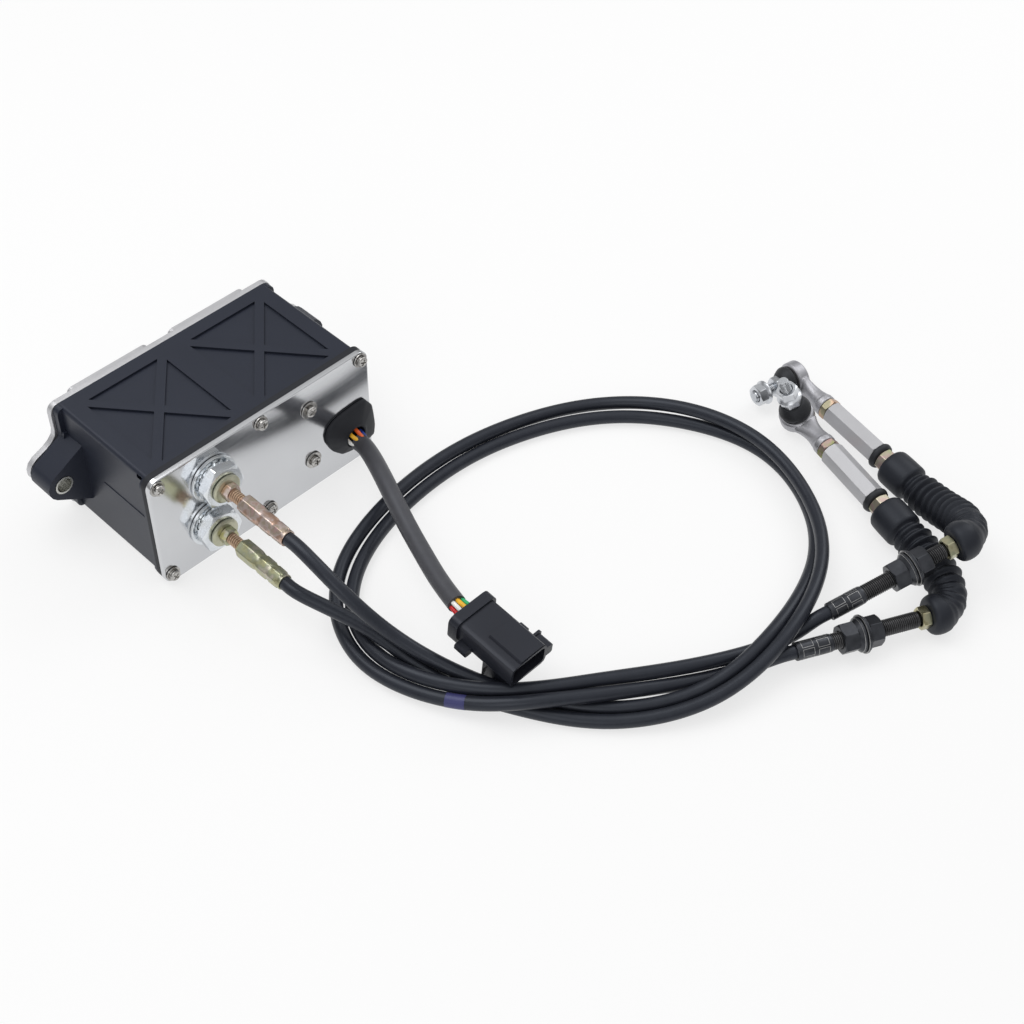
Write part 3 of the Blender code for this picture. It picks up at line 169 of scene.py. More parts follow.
# Grommet, as (share of its outline, pull towards the opening, the opening's radius, distance out)
GROMMET_LOOPS = (
    (1.0, 0.0, 8.3, 0.3), (1.0, 0.0, 8.3, 1.6), (0.985, 0.0, 8.3, 2.2), (0.95, 0.0, 8.3, 2.7),
    (0.86, 0.1, 8.3, 3.6), (0.74, 0.3, 8.3, 4.8), (0.6, 0.6, 8.3, 5.9), (0.5, 0.85, 8.3, 6.6),
    (0.0, 1.0, 8.3, 7.1), (0.0, 1.0, 7.4, 7.0), (0.0, 1.0, 7.4, 6.0), (0.0, 1.0, 7.4, 3.0),
)

# Dust cap, as (radius, height over the eye's middle, share of the stud's lean)
CAP_ROWS = (
    (6.8, 5.5, 0.0), (9.6, 5.5, 0.0), (10.5, 5.9, 0.05), (10.8, 6.8, 0.1), (10.7, 8.0, 0.25),
    (10.2, 9.2, 0.5), (9.4, 10.6, 0.75), (8.7, 11.7, 0.9), (8.2, 12.4, 1.0), (7.6, 13.1, 1.0),
    (3.7, 13.1, 1.0), (3.7, 11.4, 0.9), (6.4, 9.2, 0.5), (6.8, 7.0, 0.1),
)


class Term:
    """A number socket that can be written into sums."""

    def __init__(self, graph, socket):
        self.graph, self.socket = graph, socket

    def __add__(self, other):
        return self.graph.maths("ADD", self, other)

    __radd__ = __add__

    def __sub__(self, other):
        return self.graph.maths("SUBTRACT", self, other)

    def __rsub__(self, other):
        return self.graph.maths("SUBTRACT", other, self)

    def __mul__(self, other):
        return self.graph.maths("MULTIPLY", self, other)

    __rmul__ = __mul__

    def __truediv__(self, other):
        return self.graph.maths("DIVIDE", self, other)


class Graph:
    """A node tree that is built from plain Python."""

    def __init__(self, tree):
        self.tree = tree

    def node(self, kind, settings=None, values=None):
        made = self.tree.nodes.new(kind)
        for key, value in (settings or {}).items():
            if key == "stops":
                self.ramp(made.color_ramp, value)
            else:
                setattr(made, key, value)
        for key, value in (values or {}).items():
            self.feed(made.inputs[key], value)
        return made

    def ramp(self, ramp, stops):
        while len(ramp.elements) < len(stops):
            ramp.elements.new(0.5)
        for element, (at, colour) in zip(ramp.elements, stops):
            element.position = at
            rgb = colour if isinstance(colour, tuple) else (colour, colour, colour)
            element.color = (*rgb, 1.0)

    def feed(self, socket, value):
        value = value.socket if isinstance(value, Term) else value
        if isinstance(value, bpy.types.NodeSocket):
            self.tree.links.new(value, socket)
        elif isinstance(value, tuple) and len(value) == 3 and socket.type == "RGBA":
            socket.default_value = (*value, 1.0)
        else:
            socket.default_value = value

    def maths(self, operation, a, b=None):
        made = self.node("ShaderNodeMath", {"operation": operation}, {0: a} if b is None else {0: a, 1: b})
        return Term(self, made.outputs[0])

    def end_tree(self, made, finish):
        """Ends a geometry tree with real meshes in the given finish."""
        real = self.node("GeometryNodeRealizeInstances", None, {"Geometry": made.outputs[0]})
        done = self.node("GeometryNodeSetMaterial", None, {"Geometry": real.outputs[0], "Material": finish})
        self.feed(self.target.inputs[0], done.outputs[0])


class Paint(Graph):
    """One finish, on Object coordinates unless told otherwise."""

    def __init__(self, name):
        self.material = bpy.data.materials.new(name)
        self.material.use_nodes = True
        super().__init__(self.material.node_tree)
        self.tree.nodes.clear()
        self.place = self.node("ShaderNodeTexCoord").outputs["Object"]

    def noise(self, scale, detail=3.0, roughness=0.5, at=None):
        made = self.node("ShaderNodeTexNoise", None, {
            "Vector": at or self.place, "Scale": scale, "Detail": detail, "Roughness": roughness})
        return Term(self, made.outputs["Fac"])

    def stretched(self, scale):
        made = self.node("ShaderNodeMapping", None, {"Vector": self.place, "Scale": scale})
        return made.outputs["Vector"]

    def rise(self):
        """How far a spot stands out of its pleat or thread groove, 0 to 1."""
        return Term(self, self.node("ShaderNodeAttribute", {"attribute_name": "rise"}).outputs["Fac"])

    def blend(self, mask, first, second):
        made = self.node("ShaderNodeMix", {"data_type": "RGBA"}, {0: mask, 6: first, 7: second})
        return made.outputs[2]

    def stops(self, mask, stops):
        return self.node("ShaderNodeValToRGB", {"stops": stops}, {0: mask}).outputs[0]

    def bump(self, height, strength, distance):
        made = self.node("ShaderNodeBump", None, {
            "Height": height, "Strength": strength, "Distance": distance})
        return made.outputs["Normal"]

    def finish(self, values, fixed=None):
        bsdf = self.node("ShaderNodeBsdfPrincipled", None, {**values, **(fixed or {})})
        self.node("ShaderNodeOutputMaterial", None, {"Surface": bsdf.outputs[0]})
        return self.material


def moulded(name, colour, rough=0.42):
    """Moulded plastic with a fine spark-eroded grain and faint flow marks."""
    p = Paint(name)
    fine = p.noise(2600.0, 2.0)
    flow = p.noise(22.0, 4.0)
    lighter = tuple(c * 1.35 for c in colour)
    return p.finish({
        "Base Color": p.blend(flow, colour, lighter),
        "Roughness": rough - 0.06 + flow * 0.12,
        "Normal": p.bump(fine, 0.25, 0.0001),
    }, {"Specular IOR Level": 0.38, "Specular Tint": (0.86, 0.9, 1.0, 1.0)})


def soft_rubber(name, colour, rough=0.62, dust=0.5):
    """Rubber with a matt skin, faint bloom and small pits."""
    p = Paint(name)
    bloom = p.noise(60.0, 5.0, 0.65)
    pits = p.noise(900.0, 2.0)
    pale = tuple(c * 2.1 + 0.006 for c in colour)
    return p.finish({
        "Base Color": p.blend(bloom * dust, colour, pale),
        "Roughness": rough - 0.1 + bloom * 0.2,
        "Normal": p.bump(pits, 0.12, 0.0001),
    }, {"Specular IOR Level": 0.4, "Specular Tint": (0.84, 0.9, 1.0, 1.0)})


def brushed(name, colour, rough, stretch, mark=0.35):
    """Sheet metal with a fine grain in one direction and a few soft smears."""
    p = Paint(name)
    grain = p.noise(1.0, 3.0, 0.6, p.stretched(stretch))
    smear = p.noise(26.0, 4.0)
    darker = tuple(c * 0.86 for c in colour)
    return p.finish({
        "Base Color": p.blend(smear, darker, colour),
        "Metallic": 1.0,
        "Roughness": rough - 0.04 + grain * 0.07 + smear * 0.06,
        "Normal": p.bump(grain, mark, 0.00005),
    })


def plated(name, stops, rough=0.24, patch=130.0, metal=1.0, groove_shade=False):
    """Plated steel whose colour wanders between the stops; on a thread it can also darken the grooves as
    painted shade.
    """
    p = Paint(name)
    drift = p.noise(patch, 3.0, 0.55)
    wide = p.noise(patch * 0.3, 2.0)
    fine = p.noise(1500.0, 2.0)
    tone = (drift * 1.6 - 0.3) * 0.55 + wide * 0.45
    colour = p.stops(tone, stops)
    if groove_shade:
        # Painted shade: the thread's grooves, where the rise is low, turn nearly black
        colour = p.blend(p.rise() * 1.3, tuple(c * 0.12 for c in stops[0][1]), colour)
    return p.finish({
        "Base Color": colour,
        "Metallic": metal,
        "Roughness": rough - 0.05 + drift * 0.12,
        "Normal": p.bump(fine, 0.06, 0.00008),
    })


def cast(name, colour, rough=0.45, metal=0.85):
    """Cast alloy with a fine pebbled skin and slightly darker pores."""
    p = Paint(name)
    skin = p.noise(700.0, 4.0, 0.6)
    cloud = p.noise(45.0, 3.0)
    darker = tuple(c * 0.72 for c in colour)
    return p.finish({
        "Base Color": p.blend(cloud * 0.7 + skin * 0.3, darker, colour),
        "Metallic": metal,
        "Roughness": rough - 0.06 + cloud * 0.14,
        "Normal": p.bump(skin, 0.3, 0.00012),
    })


def vinyl(name, colour, rough=0.3):
    """Extruded vinyl: satin, with shallow drag lines and handling marks."""
    p = Paint(name)
    marks = p.noise(140.0, 4.0, 0.6)
    fine = p.noise(1800.0, 2.0)
    lighter = tuple(c * 1.5 + 0.004 for c in colour)
    return p.finish({
        "Base Color": p.blend(marks, colour, lighter),
        "Roughness": rough - 0.05 + marks * 0.14,
        "Normal": p.bump(fine, 0.05, 0.00008),
    }, {"Specular IOR Level": 0.4, "Specular Tint": (0.84, 0.9, 1.0, 1.0)})


def axis_frame(origin, axis, side=None):
    """Matrix in metres whose Z column runs along axis; origin is in millimetres."""
    z = Vector(axis).normalized()
    ref = Vector(side) if side is not None else (UP if abs(z.z) < 0.9 else Vector((1.0, 0.0, 0.0)))
    x = (ref - z * ref.dot(z)).normalized()
    y = z.cross(x)
    rot = Matrix((x, y, z)).transposed().to_4x4()
    return Matrix.Translation(Vector(origin) * MM) @ rot


def polar(r, a, h):
    """A point in metres from a radius, an angle and a height, in millimetres and radians."""
    return Vector((r * math.cos(a) * MM, r * math.sin(a) * MM, h * MM))


def flat_ray(a):
    """Direction of an angle in a plane."""
    return Vector((math.cos(a), math.sin(a)))


def around(sides):
    """Each corner of a ring with the one after it."""
    return [(i, (i + 1) % sides) for i in range(sides)]


def skin(count, sides, closed=False, lids=False):
    """Faces between rings that follow one another, closed into a loop or with a lid at both ends."""
    faces = []
    for ring in range(count if closed else count - 1):
        a, b = ring * sides, (ring + 1) % count * sides
        faces += [(a + i, a + j, b + j, b + i) for i, j in around(sides)]
    if lids:
        faces += [tuple(range(sides)), tuple(range((count - 1) * sides, count * sides))]
    return faces


def add_object(name, mesh, material, body=ROOT):
    """Links a finished mesh, gives it its finish and lets it ride on a body."""
    mesh.materials.clear()
    mesh.materials.append(material)
    obj = bpy.data.objects.new(name, mesh)
    bpy.context.scene.collection.objects.link(obj)
    if body:
        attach(obj, body)
    return obj


def shaded(mesh, sharp, merged=False):
    """Turns a mesh's faces outwards and keeps its edges crisp past an angle in degrees."""
    bm = bmesh.new()
    bm.from_mesh(mesh)
    if merged:
        bmesh.ops.remove_doubles(bm, verts=bm.verts, dist=1e-7)
    bmesh.ops.recalc_face_normals(bm, faces=bm.faces)
    bm.to_mesh(mesh)
    bm.free()
    mesh.shade_smooth()
    mesh.set_sharp_from_angle(angle=math.radians(sharp))
    return mesh


def solid(name, parts, sharp=35.0):
    """A mesh from (vertices in metres, faces) parts."""
    verts, faces = [], []
    for part_verts, part_faces in parts:
        base = len(verts)
        verts += [tuple(v) for v in part_verts]
        faces += [tuple(base + i for i in f) for f in part_faces]
    mesh = bpy.data.meshes.new(name)
    mesh.from_pydata(verts, [], faces)
    return shaded(mesh, sharp, True)


def piece(name, parts, material, sharp=30.0, body=ROOT):
    """An object made from (vertices in metres, faces) parts."""
    return add_object(name, solid(name, parts, sharp), material, body)


def turned(at, profile, sides=40, closed=False):
    """Revolves (radius, height) points in millimetres about the Z column of a frame."""
    verts, rings, faces = [], [], []
    for r, h in profile:
        count = sides if r else 1
        rings.append(range(len(verts), len(verts) + count))
        verts += [at @ polar(r, 2.0 * math.pi * i / sides, h) for i in range(count)]
    for a, b in list(zip(rings, rings[1:])) + ([(rings[-1], rings[0])] if closed else []):
        for i, j in around(sides):
            if len(a) == 1:
                faces.append((a[0], b[j], b[i]))
            elif len(b) == 1:
                faces.append((a[i], a[j], b[0]))
            else:
                faces.append((a[i], a[j], b[j], b[i]))
    return verts, faces


def hex_steps(turn):
    """Angles round a hexagon with its corners a little rounded, and each one's reach past the flat."""
    made = []
    for corner in range(6):
        for mark in HEX_MARKS:
            reach = 1.0 / math.cos(math.radians(abs(mark) - 30.0))
            made.append((math.radians(60.0 * corner + mark) + turn, reach))
    return made


def hexed(at, rows, turn=0.0):
    """A rod from rows of (half width, height, share of hexagon)."""
    steps = hex_steps(turn)
    verts = [at @ polar(r * (1.0 + k * (reach - 1.0)), a, h) for r, h, k in rows for a, reach in steps]
    return verts, skin(len(rows), len(steps), lids=True)


def nut(at, across, low, high, bore, turn=0.0):
    """Hexagon nut with the curved edges that a turned chamfer leaves on its flats."""
    steps = hex_steps(turn)
    face, wide = across * NUT_FACE, bore + NUT_LIP
    rings = [[] for _ in range(8)]
    for a, reach in steps:
        half = across / 2 * reach
        drop = (half - face) * NUT_CHAMFER
        profile = ((face, low), (half, low + drop), (half, high - drop), (face, high),
                   (wide, high), (bore, high - NUT_LIP), (bore, low + NUT_LIP), (wide, low))
        for ring, (r, h) in zip(rings, profile):
            ring.append(at @ polar(r, a, h))
    return sum(rings, []), skin(len(rings), len(steps), closed=True)


def box(at, low, high):
    """A block between two corners in millimetres."""
    outline = ((low[0], low[1]), (high[0], low[1]), (high[0], high[1]), (low[0], high[1]))
    verts = [at @ (Vector((x, y, z)) * MM) for z in (low[2], high[2]) for x, y in outline]
    return verts, [(3, 2, 1, 0), (4, 5, 6, 7), (0, 1, 5, 4), (1, 2, 6, 5), (2, 3, 7, 6), (3, 0, 4, 7)]


def rounded_slab(low, high, radius, edge, steps=12):
    """Upright slab facing the front, its corners round and its front edge softened."""
    low, high = Vector(low) / MM, Vector(high) / MM
    loops = ((0.0, high.y), (0.0, low.y + edge), (edge * 0.13, low.y + edge * 0.5),
             (edge * 0.5, low.y + edge * 0.13), (edge, low.y), (edge * 1.8, low.y))
    left, right, bottom, top = low.x + radius, high.x - radius, low.z + radius, high.z - radius
    verts = []
    for inset, y in loops:
        for corner, (x, z) in enumerate(((right, top), (left, top), (left, bottom), (right, bottom))):
            for i in range(steps + 1):
                a = math.radians(90.0 * (corner + i / steps))
                r = radius - inset
                verts.append(Vector((x + r * math.cos(a), y, z + r * math.sin(a))) * MM)
    return verts, skin(len(loops), 4 * (steps + 1), lids=True)


def repeat_tree():
    """Puts one piece on every point of a mesh, turned by the point's own angles."""
    g = new_tree("Repeat", (("Piece", "NodeSocketObject", None), ("Finish", "NodeSocketMaterial", None)))
    src = {x.name: x for x in g.source.outputs}
    item = g.node("GeometryNodeObjectInfo", {"transform_space": "ORIGINAL"}, {"Object": src["Piece"]})
    angles = g.node("GeometryNodeInputNamedAttribute", {"data_type": "FLOAT_VECTOR"}, {"Name": "angles"})
    turn = g.node("FunctionNodeEulerToRotation", None, {0: angles.outputs["Attribute"]})
    points = g.node("GeometryNodeMeshToPoints", None, {"Mesh": src["Geometry"]})
    put = g.node("GeometryNodeInstanceOnPoints", None, {
        "Points": points.outputs[0], "Instance": item.outputs["Geometry"], "Rotation": turn.outputs[0]})
    g.end_tree(put, src["Finish"])
    return g.tree


def repeated(name, piece_mesh, places, material, body=ROOT):
    """One object that holds a copy of the piece at every frame in places."""
    mesh = bpy.data.meshes.new(name)
    mesh.from_pydata([tuple(at.translation) for at in places], [], [])
    angles = np.array([tuple(at.to_euler("XYZ")) for at in places]).ravel()
    mesh.attributes.new("angles", "FLOAT_VECTOR", "POINT").data.foreach_set("vector", list(angles))
    piece = bpy.data.objects.new(name + "_piece", piece_mesh)
    bpy.context.scene.collection.objects.link(piece)
    obj = add_object(name, mesh, material, None)
    run_tree(obj, tree_named("Repeat", repeat_tree), {"Piece": piece, "Finish": material})
    bpy.data.objects.remove(piece)
    if body:
        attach(obj, body)
    return obj


def spring_washer(inner, outer, low):
    """Split ring of square wire that rises a little from one end to the other."""
    steps, high = 60, low + SPRING_T
    verts = []
    for i in range(steps + 1):
        a = 2.0 * math.pi * (i / steps * 0.965 + 0.0175)
        rise = SPRING_RISE * i / steps
        square = ((inner, low), (outer, low), (outer, high), (inner, high))
        verts += [polar(r, a, h + rise) for r, h in square]
    return verts, skin(steps + 1, 4, lids=True)


def screw_head(head, height, sides=96):
    """Domed head with a cross recess, its rings closing at the middle."""
    def top(x, y):
        r = math.hypot(x, y)
        across = min(max(abs(x) - ARM_HALF, abs(y) - ARM_REACH), max(abs(y) - ARM_HALF, abs(x) - ARM_REACH))
        cut = CROSS_DEPTH * min(1.0, max(0.0, 0.5 - across / ARM_SLOPE))
        return HEAD_Z + height * (1.0 - 0.28 * (r / head) ** 2) - cut * (1.0 - 0.3 * r / ARM_REACH)

    rows = [(head - 0.15, HEAD_Z), (head, HEAD_Z + 0.15), (head, HEAD_Z + height * 0.5),
            (head * 0.93, HEAD_Z + height * 0.72), (head * 0.83, HEAD_Z + height * 0.83)]
    angles = [2.0 * math.pi * i / sides for i in range(sides)]
    verts = [polar(r, a, h) for r, h in rows for a in angles]
    inner = [head * 0.715 * (1.0 - k / 22.0) for k in range(22)]
    for x, y in ((r * math.cos(a), r * math.sin(a)) for r in inner for a in angles):
        verts.append(Vector((x, y, top(x, y))) * MM)
    faces = skin(len(rows) + len(inner), sides)
    last = len(verts) - sides
    faces += [(last + i, last + j, len(verts)) for i, j in around(sides)] + [tuple(range(sides))]
    verts.append(Vector((0.0, 0.0, top(0.0, 0.0))) * MM)
    return verts, faces


def screw_mesh(name, head, height, washer):
    """Pan-head screw with a split spring washer and a flat washer; head towards +Z."""
    flat = turned(Matrix(), [(SCREW_BORE, 0.05), (washer - 0.15, 0.05), (washer, 0.2), (washer, 0.75),
                             (washer - 0.15, 0.9), (SCREW_BORE, 0.9)], 48, True)
    spring = spring_washer(SCREW_BORE, head + 0.25, SPRING_Z)
    shank = turned(Matrix(), [(0.0, -3.0), (2.1, -3.0), (2.1, HEAD_Z + 0.1), (0.0, HEAD_Z + 0.1)], 24)
    return solid(name, [flat, spring, screw_head(head, height), shank], 38.0)


def wire_route(points, radius, sides=12):
    """Thin wire through a few points, its ends closed."""
    path = smooth_route(points, 1.0)
    total = length_of(path) / MM
    rows = [(m, radius) for m in np.linspace(0.0, total, max(4, int(total)))]
    return sweep(path, rows, sides)[0], skin(len(rows), sides, lids=True)


def thread(name, at, core, crest, low, high, pitch, material, body=ROOT):
    """Threaded rod with chamfered ends, its helix raised by the ridge tree."""
    sides, length = 28, high - low
    path = np.array([at @ Vector((0.0, 0.0, h * MM)) for h in np.linspace(low, high, 5)]) / MM
    rows = [(0.0, core - 0.1), (0.5, core)] + [(m, core) for m in np.arange(0.7, length - 0.7, pitch / 6)]
    rows += [(length - 0.5, core), (length, core - 0.1)]
    mask = [min(1.0, max(0.0, min(m, length - m) / 1.2 - 0.4)) for m, _ in rows for _ in range(sides)]
    mesh = capped(name, sweep(path, rows, sides), sides, 60.0, False, mask + [0.0, 0.0])
    obj = add_object(name, mesh, material, body)
    run_tree(obj, tree_named("Ridges", ridge_tree), {
        "Depth": (crest - core) * MM, "Pitch": pitch * MM, "Start": 0.0, "Helix": 1.0, "Roundness": 0.15,
        "Finish": material})
    return obj


def settled(obj):
    """Keeps what an object's modifiers make as its plain mesh and drops them."""
    graph = bpy.context.evaluated_depsgraph_get()
    mesh = bpy.data.meshes.new_from_object(obj.evaluated_get(graph))
    obj.modifiers.clear()
    old, obj.data = obj.data, mesh
    bpy.data.meshes.remove(old)
    return obj


def with_modifiers(obj, *kinds):
    """Applies (type, settings) modifiers in order and keeps the result as the mesh."""
    for kind, settings in kinds:
        mod = obj.modifiers.new(kind.lower(), kind)
        for key, value in settings.items():
            setattr(mod, key, value)
    return settled(obj)


def softened(name, node, width, material):
    """Copy of a CAD node with its edges rounded, which stands for it."""
    mesh = node_object(node).data.copy()
    bm = bmesh.new()
    bm.from_mesh(mesh)
    bmesh.ops.remove_doubles(bm, verts=bm.verts, dist=2e-6)
    bmesh.ops.dissolve_limit(bm, angle_limit=math.radians(1.0), verts=bm.verts, edges=bm.edges)
    bmesh.ops.recalc_face_normals(bm, faces=bm.faces)
    bm.to_mesh(mesh)
    bm.free()
    mesh.shade_smooth()
    obj = add_object(name, mesh, material)
    bevel = {"width": width * MM, "segments": 2, "limit_method": "ANGLE",
             "angle_limit": math.radians(32.0), "use_clamp_overlap": True}
    with_modifiers(obj, ("BEVEL", bevel),
                   ("WEIGHTED_NORMAL", {"mode": "FACE_AREA", "weight": 100, "keep_sharp": True}))
    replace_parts(obj, node)
    return obj


def distances(path):
    """How far each point lies along its path."""
    return np.r_[0.0, np.cumsum(np.linalg.norm(np.diff(path, axis=0), axis=1))]


def even_rows(length, radius, step):
    """Rows of (distance along, radius) for a cord of one thickness."""
    return [(0.0, radius)] + [(m, radius) for m in np.arange(2.0, length - 1.0, step)] + [(length, radius)]


def smooth_route(points, step):
    """Even points on a cubic curve through the route's own points, in millimetres."""
    p = np.array(points, float)
    t = np.r_[0.0, np.cumsum(np.linalg.norm(np.diff(p, axis=0), axis=1) ** 0.5)]
    h = np.diff(t)
    n = len(p)
    lhs, rhs = np.eye(n), np.zeros((n, 3))
    for i in range(1, n - 1):
        lhs[i, i - 1:i + 2] = h[i - 1], 2 * (h[i - 1] + h[i]), h[i]
        rhs[i] = 6 * ((p[i + 1] - p[i]) / h[i] - (p[i] - p[i - 1]) / h[i - 1])
    bend = np.linalg.solve(lhs, rhs)

    def at(x):
        k = int(np.clip(np.searchsorted(t, x, side="right") - 1, 0, n - 2))
        a, b = (t[k + 1] - x) / h[k], (x - t[k]) / h[k]
        curve = (a ** 3 - a) * bend[k] + (b ** 3 - b) * bend[k + 1]
        return a * p[k] + b * p[k + 1] + curve * h[k] ** 2 / 6

    fine = np.array([at(x) for x in np.linspace(0.0, t[-1], 2400)])
    run = distances(fine)
    marks = np.linspace(0.0, run[-1], max(2, round(run[-1] / step)) + 1)
    return np.stack([np.interp(marks, run, fine[:, i]) for i in range(3)], axis=1)


def sweep(path, rows, sides=32):
    """A skin round a path in millimetres, from rows of (distance along, radius). Returns its
    vertices, and for each one its distance, share of a turn and outward direction."""
    run = distances(path)
    tangent = np.gradient(path, axis=0)
    tangent /= np.linalg.norm(tangent, axis=1)[:, None]
    side = [np.cross(tangent[0], (0.0, 0.0, 1.0) if abs(tangent[0][2]) < 0.9 else (1.0, 0.0, 0.0))]
    for along in tangent[1:]:
        s = side[-1] - along * np.dot(side[-1], along)
        side.append(s / np.linalg.norm(s))
    side = np.array(side)
    side /= np.linalg.norm(side, axis=1)[:, None]
    turn = np.arange(sides) / sides
    verts, marks, turns, outs = [], [], [], []
    for s, r in rows:
        at, along, x = (np.array([np.interp(s, run, a[:, i]) for i in range(3)])
                        for a in (path, tangent, side))
        along /= np.linalg.norm(along)
        x = x - along * x.dot(along)
        x /= np.linalg.norm(x)
        y = np.cross(along, x)
        ring = np.cos(2 * np.pi * turn)[:, None] * x + np.sin(2 * np.pi * turn)[:, None] * y
        verts += list((at + r * ring) * MM)
        marks += [s * MM] * sides
        turns += list(turn)
        outs += list(ring)
    return verts, marks, turns, outs


def capped(name, swept, sides, sharp=35.0, closed=False, mask=None):
    """Mesh of a sweep, its ends filled or joined, with the attributes that the ridge tree reads."""
    verts, marks, turns, outs = swept
    n = len(verts)
    faces = skin(n // sides, sides, closed)
    if not closed:
        verts = verts + [np.mean(verts[:sides], axis=0), np.mean(verts[-sides:], axis=0)]
        faces += [(n, j, i) for i, j in around(sides)]
        faces += [(n + 1, n - sides + i, n - sides + j) for i, j in around(sides)]
        marks, turns, outs = marks + [0.0, 0.0], turns + [0.0, 0.0], outs + [(0.0, 0.0, 0.0)] * 2
    mesh = bpy.data.meshes.new(name)
    mesh.from_pydata([tuple(v) for v in verts], [], faces)
    for key, kind, field, values in (
        ("along", "FLOAT", "value", marks), ("turn", "FLOAT", "value", turns),
        ("skin", "FLOAT", "value", mask if mask is not None else [0.0] * len(verts)),
        ("outward", "FLOAT_VECTOR", "vector", np.array(outs, float).ravel()),
    ):
        mesh.attributes.new(key, kind, "POINT").data.foreach_set(field, list(values))
    return shaded(mesh, sharp)


def new_tree(name, inputs):
    """An empty geometry tree with named inputs."""
    tree = bpy.data.node_groups.new(name, "GeometryNodeTree")
    tree.interface.new_socket("Geometry", in_out="INPUT", socket_type="NodeSocketGeometry")
    tree.interface.new_socket("Geometry", in_out="OUTPUT", socket_type="NodeSocketGeometry")
    for label, kind, default in inputs:
        socket = tree.interface.new_socket(label, in_out="INPUT", socket_type=kind)
        if default is not None:
            socket.default_value = default
    graph = Graph(tree)
    graph.source = graph.node("NodeGroupInput")
    graph.target = graph.node("NodeGroupOutput")
    return graph


def ridge_tree():
    """Raises rings or a helix on a swept skin: pleats with Helix 0, a thread with Helix 1."""
    numbers = (("Depth", 0.001), ("Pitch", 0.001), ("Start", 0.0), ("Helix", 0.0), ("Roundness", 0.0),
               ("Waver", 0.0))
    g = new_tree("Ridges", [(label, "NodeSocketFloat", default) for label, default in numbers]
                 + [("Finish", "NodeSocketMaterial", None)])
    src = {s.name: s for s in g.source.outputs}
    term = {label: Term(g, src[label]) for label, _ in numbers}

    def read(name, kind="FLOAT"):
        made = g.node("GeometryNodeInputNamedAttribute", {"data_type": kind}, {"Name": name})
        return made.outputs["Attribute"]

    along, turn, mask = (Term(g, read(n)) for n in ("along", "turn", "skin"))
    drift = Term(g, g.node("ShaderNodeTexNoise", None, {"Scale": 55.0, "Detail": 1.0}).outputs["Fac"]) - 0.5
    phase = (along - term["Start"]) / term["Pitch"] - turn * term["Helix"] + drift * 2.0 * term["Waver"]
    saw = g.maths("PINGPONG", phase + 0.5, 0.5) * 2.0
    wave = g.maths("COSINE", phase * (2.0 * math.pi)) * 0.5 + 0.5
    height = saw + (wave - saw) * term["Roundness"]
    scale = g.node("ShaderNodeVectorMath", {"operation": "SCALE"}, {
        0: read("outward", "FLOAT_VECTOR"), "Scale": height * term["Depth"] * mask})
    moved = g.node("GeometryNodeSetPosition", None, {"Geometry": src["Geometry"], "Offset": scale.outputs[0]})
    rise = g.node("GeometryNodeStoreNamedAttribute", {"data_type": "FLOAT"}, {
        "Geometry": moved.outputs[0], "Name": "rise", "Value": height * mask + (1.0 - mask)})
    g.end_tree(rise, src["Finish"])
    return g.tree


def run_tree(obj, tree, values):
    """Gives the object a geometry tree, turns the result into its plain mesh and drops the modifier."""
    mod = obj.modifiers.new(tree.name, "NODES")
    mod.node_group = tree
    for item in tree.interface.items_tree:
        if item.item_type == "SOCKET" and item.in_out == "INPUT" and item.name in values:
            mod[item.identifier] = values[item.name]
    obj.update_tag()
    return settled(obj)


def tree_named(name, build):
    return bpy.data.node_groups.get(name) or build()


def cable_path(side):
    """Points of a conduit in millimetres, from its ferrule to its hub."""
    x, z, route = (UPPER_X, UPPER_Z, UPPER_ROUTE) if side == "upper" else (LOWER_X, LOWER_Z, LOWER_ROUTE)
    d = Vector(ENDS[side]["out"]).normalized()
    end = Vector(ENDS[side]["hub"]) - d * GAP
    points = [(x, CABLE_START_Y, z), (x, CABLE_START_Y - STRAIGHT, z), *route]
    path = smooth_route(points + [tuple(end - d * STRAIGHT), tuple(end)], 4.0)
    share = np.minimum(1.0, np.minimum(np.arange(len(path)), np.arange(len(path))[::-1]) / 8.0)
    path[:, 2] += JACKET_LIFT * share
    return path


def sleeve_path():
    """Points of the sleeve in millimetres, from the grommet to where the plug's bare wires begin."""
    rear = Vector(PLUG_REAR)
    end = rear - (Vector(PLUG_FRONT) - rear).normalized() * BARE_WIRES
    start = Vector(SLEEVE_START)
    straight = start - Vector((0.0, 6.0, 0.0))
    return smooth_route([tuple(start), tuple(straight), *SLEEVE_ROUTE, tuple(end)], 4.0)


def length_of(path):
    return float(np.linalg.norm(np.diff(path, axis=0), axis=1).sum()) * MM


def boot_line(side):
    """Centre line of a boot in millimetres, from the hub's collar to the end of the cuff."""
    e = ENDS[side]
    out = np.array(Vector(e["out"]).normalized())
    back = -np.array(Vector(e["line"]).normalized())
    start = np.array(e["hub"]) + out * (HUB_LEN + COLLAR_T + 2 * GAP)
    end = np.array(e["ball"]) + back * CUFF_END
    p0, p3 = start + out * 3.0, end + back * CUFF_LEN
    p1, p2 = p0 + out * 24.0, p3 + back * 38.0
    t = np.linspace(0.0, 1.0, 400)[:, None]
    bend = (1 - t) ** 3 * p0 + 3 * (1 - t) ** 2 * t * p1 + 3 * (1 - t) * t ** 2 * p2 + t ** 3 * p3
    return np.concatenate((start[None], bend, end + back * np.linspace(CUFF_LEN - 1.0, 0.0, 22)[:, None]))


def length_prop(name, description, default):
    return bpy.props.FloatProperty(
        name=name, description=description, default=default, min=0.0, unit="LENGTH", precision=4)


def colour_prop(name, description, default):
    return bpy.props.FloatVectorProperty(
        name=name, description=description, default=default, size=3, subtype="COLOR", min=0.0, max=1.0)


